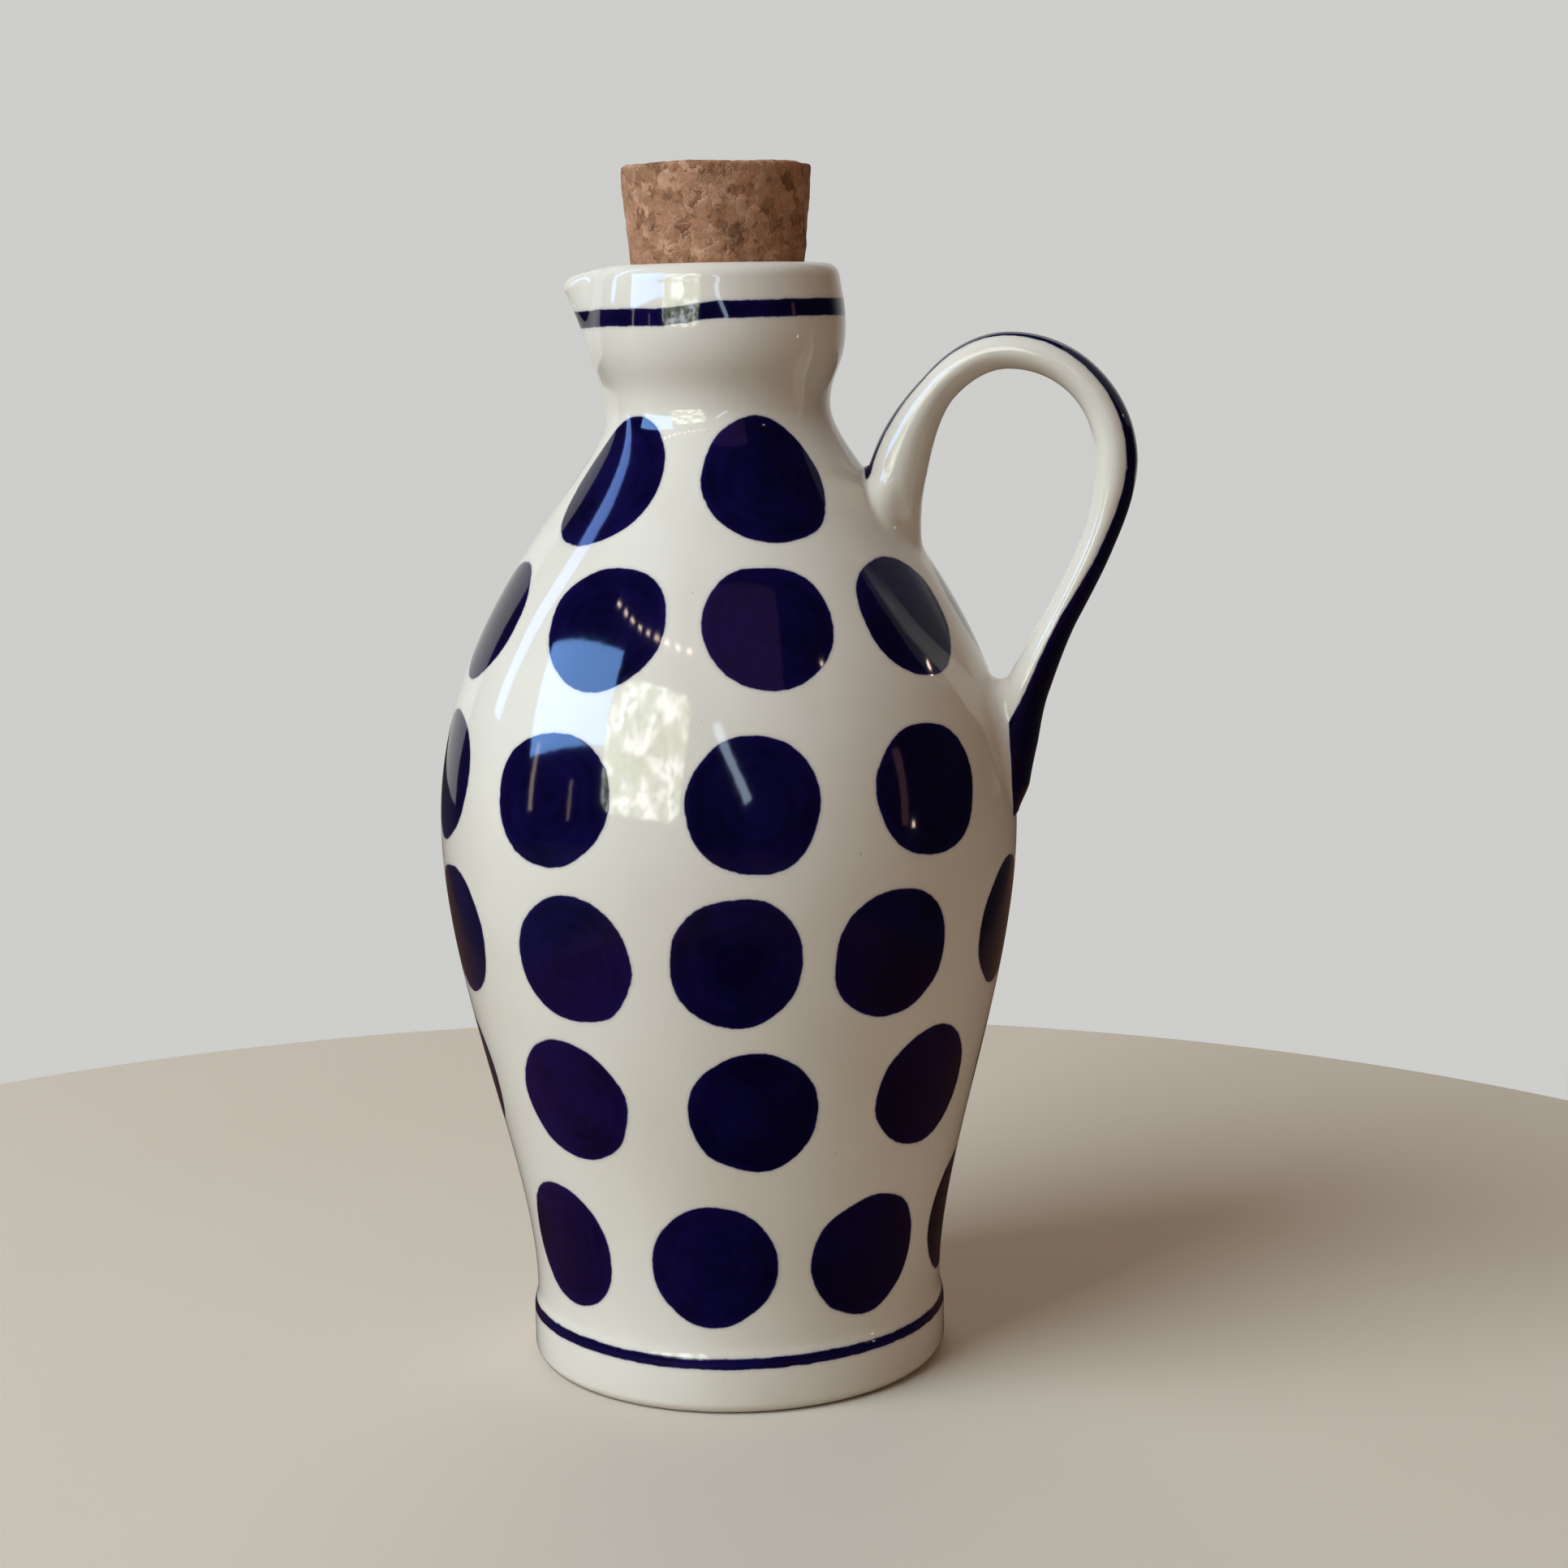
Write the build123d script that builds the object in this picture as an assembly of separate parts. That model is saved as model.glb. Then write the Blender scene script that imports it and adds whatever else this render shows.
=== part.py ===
from build123d import *
import math
import os

# Stoneware cruet bottle: a hollow body of revolution with a pinched pouring lip, a pulled loop handle
# luted onto its side, and a tapered cork in its mouth. All sizes are in millimetres. The bottle's axis
# is Z, it stands on Z = 0, the handle points along +X and the lip along -X.

# Foot
foot_radius = 35.8
foot_height = 7.6
foot_edge = 2.0
foot_ring_width = 6.0
foot_recess = 1.8
foot_waist_radius = 35.1
foot_waist_rise = 4.6

# Belly and shoulder: the widest place, and how far the curve keeps its upright start and end
belly_radius = 48.9
belly_height = 93.0
lower_body_start = 22.0
lower_body_end = 27.5
shoulder_start = 38.0
shoulder_end = 10.0

# Neck and collar
neck_radius = 18.3
neck_height = 162.7
collar_radius = 21.05
collar_rise = 13.1
collar_start = 5.5
collar_end = 7.2
rim_radius = 20.2
rim_rise = 10.0
rim_round = 2.3
rim_fullness = 0.55
mouth_round = 1.4

# Fired clay
wall = 4.8
floor_thickness = 5.4
floor_corner = 9.0

# Cork: a standard tapered stopper, and how much of it stands above the rim
cork_top_radius = 15.875
cork_bottom_radius = 12.7
cork_length = 38.1
cork_proud = 16.2
cork_edge = 0.5
cork_clearance = 0.06
cork_relief = 0.6

# Pouring lip, pinched out of the collar
lip_reach = 26.6
lip_half_angle = 36.0
lip_flank_width = 5.4
lip_drop = 1.3
lip_keel = 25.0
lip_keel_start = 5.0
lip_keel_end = 10.3
lip_keel_tilt = 23.0
lip_bury = 0.35
channel_land = 1.4
channel_half_width = 7.4
channel_depth = 9.5
channel_narrowing = 0.4
channel_nose = 0.6
channel_start = 0.8
channel_overshoot = 0.1

# Handle: places on its centre line, how far the line keeps its direction on each side of a place, as a
# share of the way to the next place, and its thickness in the loop's plane and width across it
handle_root_height = 136.0
handle_root_sink = 6.5
handle_crown_radius = 48.2
handle_crown_height = 171.1
handle_elbow_radius = 65.8
handle_elbow_height = 153.2
handle_joint_height = 116.5
handle_joint_gap = 6.6
handle_tongue_length = 21.0
handle_tongue_sink = 2.3
handle_root_lean = -0.042
handle_root_pull = 0.498
handle_crown_pulls = (0.266, 0.398)
handle_elbow_pulls = (0.394, 0.315)
handle_joint_pulls = (0.353, 0.35)
handle_tip_pull = 0.306
handle_tip_lean = 1.1
handle_root_size = (10.6, 12.6)
handle_flare_size = (9.5, 11.2)
handle_crown_size = (6.0, 9.2)
handle_elbow_size = (7.0, 9.4)
handle_limb_size = (5.4, 9.4)
handle_joint_size = (7.4, 11.4)
handle_tongue_size = (8.8, 11.6)
handle_tip_size = (4.4, 6.0)

# Heights and radii that follow from the sizes above
foot_waist_height = foot_height + foot_waist_rise
collar_height = neck_height + collar_rise
rim_height = collar_height + rim_rise
rim_land_radius = rim_radius - rim_round
floor_height = foot_recess + floor_thickness
cork_bottom_height = rim_height + cork_proud - cork_length
seat_bottom_height = cork_bottom_height - cork_relief
cork_taper = (cork_top_radius - cork_bottom_radius) / cork_length


def at(radius, height):
    """A point in the XZ plane."""
    return Vector(radius, 0, height)


def cork_radius(height):
    """Radius of the cork's cone at a height in the bottle's frame."""
    return cork_bottom_radius + (height - cork_bottom_height) * cork_taper


def seat_radius(height):
    """Radius of the mouth's conical seat, which follows the cork with a running clearance."""
    return cork_radius(height) + cork_clearance


def upright_curve(start, start_pull, end, end_pull):
    """Curve that leaves one point straight up and reaches the next straight up."""
    lift_start = start + Vector(0, 0, start_pull)
    lift_end = end - Vector(0, 0, end_pull)
    return Bezier(start, lift_start, lift_end, end)


# Outer outline of the bottle, from the foot to the rim, as upright curves that join without a corner
foot_side = at(foot_radius, foot_height)
foot_waist = at(foot_waist_radius, foot_waist_height)
belly = at(belly_radius, belly_height)
neck = at(neck_radius, neck_height)
collar = at(collar_radius, collar_height)
rim_side = at(rim_radius, rim_height - rim_round)
rim_land = at(rim_land_radius, rim_height)

foot_step = upright_curve(foot_side, foot_waist_rise / 2, foot_waist, foot_waist_rise / 2)
lower_body = upright_curve(foot_waist, lower_body_start, belly, lower_body_end)
shoulder = upright_curve(belly, shoulder_start, neck, shoulder_end)
collar_swell = upright_curve(neck, collar_start, collar, collar_end)
collar_lean = rim_side - collar
collar_lift = collar + Vector(0, 0, collar_lean.Z / 2)
collar_taper = Bezier(collar, collar_lift, rim_side - collar_lean / 4, rim_side)
rim_tangent = collar_taper % 1
rim_corner = Bezier(
    rim_side,
    rim_side + rim_tangent * rim_round * rim_fullness,
    rim_land + Vector(rim_round * rim_fullness, 0, 0),
    rim_land,
)
outline = [foot_step, lower_body, shoulder, collar_swell, collar_taper, rim_corner]


def outline_radius(height):
    """Outer radius of the bottle at a height between its foot and its rim."""
    curve = next(edge for edge in outline if height <= (edge @ 1).Z)
    low, high = 0.0, 1.0
    for _ in range(40):
        middle = (low + high) / 2
        if (curve @ middle).Z < height:
            low = middle
        else:
            high = middle
    return (curve @ low).X


def inside(curve, place):
    """Point on the inner face of the wall, straight through the clay from a place on a curve."""
    along = curve % place
    return (curve @ place) + Vector(-along.Z, 0, along.X) * wall


def foot_edges():
    """Underside and foot: shallow recess, bevelled ring, flat foot and its rounded outer edge."""
    ring_inner = foot_radius - foot_edge - foot_ring_width
    corners = [
        at(0, foot_recess),
        at(ring_inner - foot_recess, foot_recess),
        at(ring_inner, 0),
        at(foot_radius - foot_edge, 0),
    ]
    edges = [Line(a, b) for a, b in zip(corners, corners[1:])]
    foot_corner = at(foot_radius, foot_edge)
    edges.append(Bezier(corners[-1], at(foot_radius, 0), foot_corner))
    edges.append(Line(foot_corner, foot_side))
    return edges


def mouth_edges():
    """Flat rim, rounded mouth and the conical seat down to just under the cork."""
    round_bottom = rim_height - mouth_round
    mouth_top = at(seat_radius(rim_height) + mouth_round, rim_height)
    mouth_side = at(seat_radius(round_bottom), round_bottom)
    seat_bottom = at(seat_radius(seat_bottom_height), seat_bottom_height)
    mouth_curve = Bezier(mouth_top, at(seat_radius(rim_height), rim_height), mouth_side)
    return [Line(rim_land, mouth_top), mouth_curve, Line(mouth_side, seat_bottom)]


def cavity_edges():
    """Inner face of the wall, one wall thickness inside the outline, and the floor."""
    throat = at(seat_radius(seat_bottom_height), seat_bottom_height)
    upper = [inside(shoulder, place) for place in (0.72, 0.54, 0.36, 0.18)]
    lower = [inside(lower_body, place) for place in (1.0, 0.75, 0.5, 0.25)]
    floor_side = inside(lower_body, 0.0)
    wall_foot = at(floor_side.X, max(floor_side.Z, floor_height + floor_corner))
    floor_edge = at(wall_foot.X - floor_corner, floor_height)
    inner_face = Spline(
        [throat] + upper + lower + [wall_foot],
        tangents=[Vector(0, 0, -1), Vector(0, 0, -1)],
    )
    corner = Bezier(wall_foot, at(wall_foot.X, floor_height), floor_edge)
    floor_centre = at(0, floor_height)
    return [inner_face, corner, Line(floor_edge, floor_centre), Line(floor_centre, at(0, foot_recess))]


def turned(edges):
    """Solid of revolution of a closed half section."""
    return revolve(make_face(edges), axis=Axis.Z, revolution_arc=360)


def filled_bottle():
    """The bottle's outside as one filled solid, used to trim the handle's ends.

    The seam of the turned face is on the lip's side, so that it never runs under the handle.
    """
    base_centre, base_edge, top_centre = at(0, 0), at(foot_radius, 0), at(0, rim_height)
    base = [Line(base_centre, base_edge), Line(base_edge, foot_side)]
    top = [Line(rim_land, top_centre), Line(top_centre, base_centre)]
    return Rot(0, 0, 180) * turned(base + outline + top)


def lip_plane(height):
    """Plane at a height over the collar that dips towards the lip's tip."""
    dip = math.degrees(math.atan2(lip_drop, lip_reach - rim_land_radius))
    hinge = Vector(-rim_land_radius, 0, height)
    return Plane(hinge).rotated((0, -dip, 0))


def pinched_outline(plane, base_radius, spread, reach, flank_width, pinch):
    """Face whose flanks leave a circle about the bottle's axis for a nose, more pinched as pinch nears 1."""
    base_x, base_y = base_radius * math.cos(spread), base_radius * math.sin(spread)
    round_x, round_y = base_radius * math.cos(spread / 2), base_radius * math.sin(spread / 2)
    flank_x = round_x + ((base_x + reach) / 2 - round_x) * pinch
    flank_y = round_y + (flank_width - round_y) * pinch
    shift = rim_land_radius
    points = [
        (shift - base_x, base_y),
        (shift - flank_x, flank_y),
        (shift - reach, 0),
        (shift - flank_x, -flank_y),
        (shift - base_x, -base_y),
    ]
    slope = Vector(-math.sin(spread), -math.cos(spread))
    nose = Spline(points, tangents=[slope, Vector(-slope.X, slope.Y)])
    return plane * make_face([nose, Line(points[-1], points[0])])


def keel_line(keel_top):
    """Crest of the lip, from just inside the neck out to the lip's tip."""
    keel_bottom = keel_top - lip_keel
    start = at(outline_radius(keel_bottom) - lip_bury, keel_bottom)
    tip = at(lip_reach, keel_top)
    tilt = math.radians(lip_keel_tilt)
    lean = at(math.sin(tilt), math.cos(tilt))
    return Bezier(start, start + at(0, lip_keel_start), tip - lean * lip_keel_end, tip)


def pouring_lip():
    """Solid lip that grows out of the collar along its keel and rounds over at the rim."""
    spread = math.radians(lip_half_angle)
    keel_top = rim_height - rim_round
    keel = keel_line(keel_top)
    sections = []
    for share in (0.0, 0.25, 0.5, 0.75):
        crest = keel @ share
        plane = Plane(Vector(-rim_land_radius, 0, crest.Z))
        radius = outline_radius(crest.Z) - lip_bury
        sections.append(pinched_outline(plane, radius, spread, crest.X, lip_flank_width, share))
    for rise, inset in ((0.0, 0.0), (0.7, 0.3), (1.0, 1.0)):
        plane = lip_plane(keel_top + rim_round * rise)
        reach = lip_reach - rim_round * inset
        radius = rim_radius - lip_bury - rim_round * inset
        sections.append(pinched_outline(plane, radius, spread, reach, lip_flank_width, 1.0))
    above = Pos(0, 0, rim_height) * Box(
        4 * lip_reach, 4 * lip_reach, lip_reach, align=(Align.CENTER, Align.CENTER, Align.MIN)
    )
    return loft(sections) - above


def pouring_channel():
    """Groove cut from the mouth out to the lip's tip, deepest where it leaves the mouth."""
    inner_radius = seat_radius(rim_height) * channel_start
    spread = math.asin(channel_half_width / inner_radius)
    far = lip_reach - rim_round - channel_land
    near = seat_radius(rim_height - channel_depth) - mouth_round
    sections = []
    for share in (-channel_overshoot, 0.3, 0.65, 1.0):
        plane = lip_plane(rim_height - channel_depth * share)
        reach = far - (far - near) * share
        narrowed = 1 - channel_narrowing * share
        flank = channel_half_width * channel_nose * narrowed
        sections.append(pinched_outline(plane, inner_radius, spread * narrowed, reach, flank, 1.0))
    return loft(sections)


def eased_curve(start, start_pull, end, end_pull):
    """Curve between two points whose pulls are shares of the distance between them."""
    span = (end - start).length
    return Bezier(start, start + start_pull * span, end + end_pull * span, end)


def handle():
    """Loop handle: oval sections lofted along its centre line, with ends trimmed to the bottle's side."""
    root = at(outline_radius(handle_root_height) - handle_root_sink, handle_root_height)
    crown = at(handle_crown_radius, handle_crown_height)
    elbow = at(handle_elbow_radius, handle_elbow_height)
    joint = at(outline_radius(handle_joint_height) + handle_joint_gap, handle_joint_height)
    tongue_height = handle_joint_height - handle_tongue_length
    tip = at(outline_radius(tongue_height) - handle_tongue_sink, tongue_height)
    tongue_span = (joint - tip).length
    lift_height = tongue_height + tongue_span * handle_tip_pull
    tip_lift = at(outline_radius(lift_height) - handle_tongue_sink + handle_tip_lean, lift_height)
    root_slope, out, up = at(handle_root_lean, handle_root_pull), at(1, 0), at(0, 1)
    limb_slope = (elbow - joint).normalized()
    rise = eased_curve(root, root_slope, crown, -out * handle_crown_pulls[0])
    over = eased_curve(crown, out * handle_crown_pulls[1], elbow, up * handle_elbow_pulls[0])
    limb = eased_curve(elbow, -up * handle_elbow_pulls[1], joint, limb_slope * handle_joint_pulls[0])
    tongue = Bezier(joint, joint - limb_slope * tongue_span * handle_joint_pulls[1], tip_lift, tip)
    # Where along each curve a section stands, as a share of it, and the section's size
    stations = [
        (rise, 0.0, handle_root_size),
        (rise, 0.3, handle_flare_size),
        (rise, 0.62, handle_crown_size),
        (over, 0.0, handle_crown_size),
        (over, 0.5, handle_crown_size),
        (limb, 0.0, handle_elbow_size),
        (limb, 0.35, handle_limb_size),
        (limb, 0.7, handle_limb_size),
        (tongue, 0.0, handle_joint_size),
        (tongue, 0.4, handle_tongue_size),
        (tongue, 1.0, handle_tip_size),
    ]
    sections = []
    for curve, place, (thickness, width) in stations:
        plane = Plane(origin=curve @ place, x_dir=(0, 1, 0), z_dir=curve % place)
        sections.append(plane * Ellipse(width / 2, thickness / 2))
    return loft(sections) - filled_bottle()


def cork():
    """Tapered cork with slightly broken edges."""
    top_height = rim_height + cork_proud
    corners = [
        at(0, cork_bottom_height),
        at(cork_bottom_radius - cork_edge, cork_bottom_height),
        at(cork_radius(cork_bottom_height + cork_edge), cork_bottom_height + cork_edge),
        at(cork_radius(top_height - cork_edge), top_height - cork_edge),
        at(cork_top_radius - cork_edge, top_height),
        at(0, top_height),
    ]
    return turned([Line(a, b) for a, b in zip(corners, corners[1:] + corners[:1])])


def bottle_body():
    """Hollow bottle with its pouring lip."""
    shell = turned(foot_edges() + outline + mouth_edges() + cavity_edges())
    return shell + pouring_lip() - pouring_channel()


def main():
    """Build every piece and write one STEP file for each."""
    os.makedirs("parts", exist_ok=True)
    pieces = {"bottle_body": bottle_body(), "handle": handle(), "cork_stopper": cork()}
    for name, piece in pieces.items():
        solids = piece.solids()
        print(name, len(solids), "solid(s)", round(sum(s.volume for s in solids)), "mm3", piece.is_valid)
        export_step(piece if len(solids) > 1 else solids[0], f"parts/{name}.step")


main()
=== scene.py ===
"""Looks of a glazed cruet bottle: turned body with a pinched lip, loop handle and tapered cork."""
import logging
import math
import random
from bisect import bisect_right
from dataclasses import dataclass, field
from enum import Enum
from typing import Callable, Union

import bmesh
import bpy
from mathutils import Matrix, Quaternion, Vector
from mathutils.geometry import interpolate_bezier


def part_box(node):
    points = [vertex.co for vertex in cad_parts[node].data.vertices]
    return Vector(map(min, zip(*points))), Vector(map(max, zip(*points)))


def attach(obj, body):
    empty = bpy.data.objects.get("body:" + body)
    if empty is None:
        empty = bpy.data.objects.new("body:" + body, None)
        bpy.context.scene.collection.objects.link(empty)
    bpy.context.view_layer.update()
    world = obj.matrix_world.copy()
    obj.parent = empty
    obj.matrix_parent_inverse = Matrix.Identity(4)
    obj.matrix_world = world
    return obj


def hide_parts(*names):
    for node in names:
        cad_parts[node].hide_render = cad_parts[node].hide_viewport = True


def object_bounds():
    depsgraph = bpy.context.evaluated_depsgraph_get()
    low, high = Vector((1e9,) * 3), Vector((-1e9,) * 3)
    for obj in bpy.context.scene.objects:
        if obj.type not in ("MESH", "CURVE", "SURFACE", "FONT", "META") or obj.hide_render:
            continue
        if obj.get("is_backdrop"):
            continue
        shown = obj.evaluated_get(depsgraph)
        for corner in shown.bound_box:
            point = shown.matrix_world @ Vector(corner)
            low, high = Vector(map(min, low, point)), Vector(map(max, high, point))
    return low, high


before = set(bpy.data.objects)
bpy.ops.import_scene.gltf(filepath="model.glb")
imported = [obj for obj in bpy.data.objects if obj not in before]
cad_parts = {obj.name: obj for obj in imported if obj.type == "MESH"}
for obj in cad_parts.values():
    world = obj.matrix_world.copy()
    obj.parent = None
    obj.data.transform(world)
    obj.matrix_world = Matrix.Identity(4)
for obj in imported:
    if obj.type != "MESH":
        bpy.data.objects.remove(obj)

LOG = logging.getLogger("cruet")
UP = Vector((0, 0, 1))
MM = 0.001
WELD = 0.004 * MM  # points nearer than this are merged
FAR = 6 * MM  # a layer holds no larger distance
HIDDEN = 1.0  # stands for the travel of a point that is tucked right under the bottle's side
QUARTER_PULL = 0.55  # share of its radius by which a curve's end is pulled to round a corner
DULL_IOR = 1.2  # for the floor and the cards, which hardly shine

Colour = tuple[float, float, float]


class Carrier(Enum):
    """Rigid bodies of the frame that a piece can ride on."""

    BOTTLE = "bottle"
    STOPPER = "stopper"


class Slot(Enum):
    """Names of the record's material slots, which no piece here takes its finish from."""

    BODY = "glaze"
    HANDLE = "handle_glaze"
    CORK = "cork"


class Layer(Enum):
    """Mesh attributes that tell a finish how far a point is from an edge, in millimetres."""

    COBALT = "cobalt"
    BISCUIT = "biscuit"


# ---------------------------------------------------------------- modelling


def place(radius: float, height: float) -> Vector:
    """A point of the half section, in the XZ plane."""
    return Vector((radius, 0, height))


def smooth_share(value: float, low: float, high: float) -> float:
    """Share from 0 at low to 1 at high that starts and ends without a corner.

    Args:
        value: Where between the two limits the point lies.
        low: The value that gives 0.
        high: The value that gives 1.

    Returns:
        The eased share, held at 0 and 1 outside the limits.
    """
    share = min(1.0, max(0.0, (value - low) / (high - low)))
    return share * share * (3 - 2 * share)


def rounded(start: Vector, corner: Vector, end: Vector, points: int) -> list[Vector]:
    """Points of a curve that rounds off a corner, with both ends."""
    return interpolate_bezier(start, (start + corner) / 2, (corner + end) / 2, end, points)


def straight(start: Vector, end: Vector, steps: int) -> list[Vector]:
    """Points at even steps along a straight line, with both ends."""
    return [start.lerp(end, step / steps) for step in range(steps + 1)]


def joined(*runs: list[Vector]) -> list[Vector]:
    """Puts runs of points in a row, with the point that two runs share kept once.

    Args:
        *runs: The runs, each of which starts where the one before it ends.

    Returns:
        All the points.
    """
    points = list(runs[0])
    for run in runs[1:]:
        points.extend(run[1:])
    return points


def direction(azimuth: float, elevation: float) -> Vector:
    """Unit vector at an azimuth from +X and an elevation, both in degrees."""
    turn, lift = math.radians(azimuth), math.radians(elevation)
    return Vector((math.cos(lift) * math.cos(turn), math.cos(lift) * math.sin(turn), math.sin(lift)))


def add_primitive(name: str, add: Callable[..., set[str]], **sizes: object) -> bpy.types.Object:
    """Adds a primitive with nothing else selected.

    Args:
        name: Name of the new object and of its mesh.
        add: Operator that adds the primitive.
        **sizes: Settings of that operator.

    Returns:
        The new object.
    """
    bpy.ops.object.select_all(action="DESELECT")
    add(**sizes)
    made = bpy.context.object
    made.name = made.data.name = name
    return made


def start_piece(name: str, add: Callable[..., set[str]], **sizes: object) -> bpy.types.Object:
    """Adds a primitive at the origin and opens it in edit mode.

    Args:
        name: Name of the new piece.
        add: Operator that adds the primitive.
        **sizes: Settings of that operator.

    Returns:
        The new object, in edit mode and selected all over.
    """
    piece = add_primitive(name, add, location=(0, 0, 0), **sizes)
    bpy.ops.object.mode_set(mode="EDIT")
    return piece


def close_piece() -> None:
    """Merges doubles, turns the faces outwards, leaves edit mode and shades smooth."""
    bpy.ops.mesh.select_all(action="SELECT")
    bpy.ops.mesh.remove_doubles(threshold=WELD)
    bpy.ops.mesh.normals_make_consistent(inside=False)
    bpy.ops.object.mode_set(mode="OBJECT")
    bpy.ops.object.shade_smooth()


def turn_outline(points: list[Vector], sweeps: list[tuple[float, int]]) -> None:
    """Merges a plane primitive in edit mode to a point, draws a half section from it and spins that.

    Args:
        points: The half section, with both ends on the axis.
        sweeps: Angle and number of steps of each stretch of the full turn.
    """
    bpy.ops.mesh.merge(type="CENTER")
    bpy.ops.transform.translate(value=points[0])
    for start, end in zip(points, points[1:]):
        bpy.ops.mesh.extrude_region_move(TRANSFORM_OT_translate={"value": end - start})
    bpy.ops.mesh.select_all(action="SELECT")
    for angle, steps in sweeps:
        bpy.ops.mesh.spin(steps=steps, angle=angle, center=(0, 0, 0), axis=(0, 0, 1))


def write_layer(piece: bpy.types.Object, layer: Layer, rule: Callable[[Vector], float]) -> None:
    """Stores a distance in millimetres at every point of a piece.

    Args:
        piece: The piece to write to.
        layer: The attribute's name.
        rule: Gives the distance in metres at a point.
    """
    attribute = piece.data.attributes.new(layer.value, "FLOAT", "POINT")
    attribute.data.foreach_set("value", [rule(v.co) / MM for v in piece.data.vertices])


# ---------------------------------------------------------------- forms


@dataclass
class BottleForm:
    """Sizes of the turned bottle, in metres, and the outlines that follow from them."""

    belly_radius: float
    rim_height: float
    foot_radius: float = 0.0358
    foot_height: float = 0.0076
    foot_edge: float = 0.002
    foot_ring_width: float = 0.006
    foot_recess: float = 0.0018
    waist_radius: float = 0.0351
    waist_rise: float = 0.0046
    belly_height: float = 0.093
    lower_pulls: tuple[float, float] = (0.022, 0.0275)
    shoulder_pulls: tuple[float, float] = (0.038, 0.010)
    neck_radius: float = 0.0183
    neck_drop: float = 0.0231
    collar_radius: float = 0.02105
    collar_drop: float = 0.010
    collar_pulls: tuple[float, float] = (0.0055, 0.0072)
    rim_radius: float = 0.0202
    rim_round: float = 0.0023
    mouth_round: float = 0.0014
    wall: float = 0.0048
    floor_height: float = 0.0072
    floor_corner: float = 0.009
    seat_clearance: float = 0.00006
    seat_overrun: float = 0.0006
    side_points: int = 62
    collar_points: int = 18
    taper_points: int = 12
    rim_points: int = 9
    corner_points: int = 8
    neck_points: int = 10
    seat_steps: int = 22
    floor_steps: int = 4
    hollow_reach: int = 46
    heights: list[float] = field(default_factory=list)
    radii: list[float] = field(default_factory=list)
    slants: list[float] = field(default_factory=list)

    def __post_init__(self) -> None:
        """Keeps the outline's heights, radii and length along the clay for look-ups."""
        points = self.outside()
        self.heights = [p.z for p in points]
        self.radii = [p.x for p in points]
        self.slants = [0.0]
        for start, end in zip(points, points[1:]):
            self.slants.append(self.slants[-1] + (end - start).length)

    def upright(self, start: Vector, end: Vector, pulls: tuple[float, float], steps: int) -> list[Vector]:
        """Curve that leaves one point straight up and reaches the next straight up.

        Args:
            start: Lower point.
            end: Upper point.
            pulls: How far the curve keeps upright at its start and at its end.
            steps: Number of points on the curve.

        Returns:
            The points, with both ends.
        """
        return interpolate_bezier(start, start + UP * pulls[0], end - UP * pulls[1], end, steps)

    @property
    def waist(self) -> Vector:
        """Narrowest place above the foot."""
        return place(self.waist_radius, self.foot_height + self.waist_rise)

    @property
    def belly(self) -> Vector:
        """Widest place of the side."""
        return place(self.belly_radius, self.belly_height)

    @property
    def neck(self) -> Vector:
        """Narrowest place under the collar."""
        return place(self.neck_radius, self.rim_height - self.neck_drop)

    def lower_side(self) -> list[Vector]:
        """Outline from the waist above the foot to the belly."""
        return self.upright(self.waist, self.belly, self.lower_pulls, self.side_points)

    def shoulder(self) -> list[Vector]:
        """Outline from the belly to the neck."""
        return self.upright(self.belly, self.neck, self.shoulder_pulls, self.side_points)

    def outside(self) -> list[Vector]:
        """Draws the outline from the top of the foot's straight side to the flat of the rim.

        Returns:
            The points, from the foot upwards.
        """
        foot, half_rise = place(self.foot_radius, self.foot_height), self.waist_rise / 2
        step = self.upright(foot, self.waist, (half_rise, half_rise), self.corner_points)
        collar = place(self.collar_radius, self.rim_height - self.collar_drop)
        side = place(self.rim_radius, self.rim_height - self.rim_round)
        land = place(self.rim_radius - self.rim_round, self.rim_height)
        lean = side - collar
        swell = self.upright(self.neck, collar, self.collar_pulls, self.collar_points)
        taper = interpolate_bezier(collar, collar + UP * lean.z / 2, side - lean / 4, side, self.taper_points)
        pull = self.rim_round * QUARTER_PULL
        leave, arrive = side + lean.normalized() * pull, land + place(pull, 0)
        corner = interpolate_bezier(side, leave, arrive, land, self.rim_points)
        return joined(step, self.lower_side(), self.shoulder(), swell, taper, corner)

    def underside(self) -> list[Vector]:
        """Draws the outline from the axis over the recess and the foot ring to the foot's side.

        Returns:
            The points, from the axis outwards.
        """
        outer = self.foot_radius - self.foot_edge
        inner = outer - self.foot_ring_width
        middle = place(0, self.foot_recess)
        bevel = place(inner - self.foot_recess, self.foot_recess)
        side = place(self.foot_radius, self.foot_edge)
        edge = rounded(place(outer, 0), place(self.foot_radius, 0), side, self.corner_points)
        half_way = place(self.foot_radius, (self.foot_edge + self.foot_height) / 2)
        return [middle, middle.lerp(bevel, 0.5), bevel, place(inner, 0), *edge, half_way]

    def seat_radius(self, height: float, cork: "CorkStopper") -> float:
        """Radius of the mouth's conical seat, which follows the cork with a running clearance."""
        return cork.radius(height) + self.seat_clearance

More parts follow.
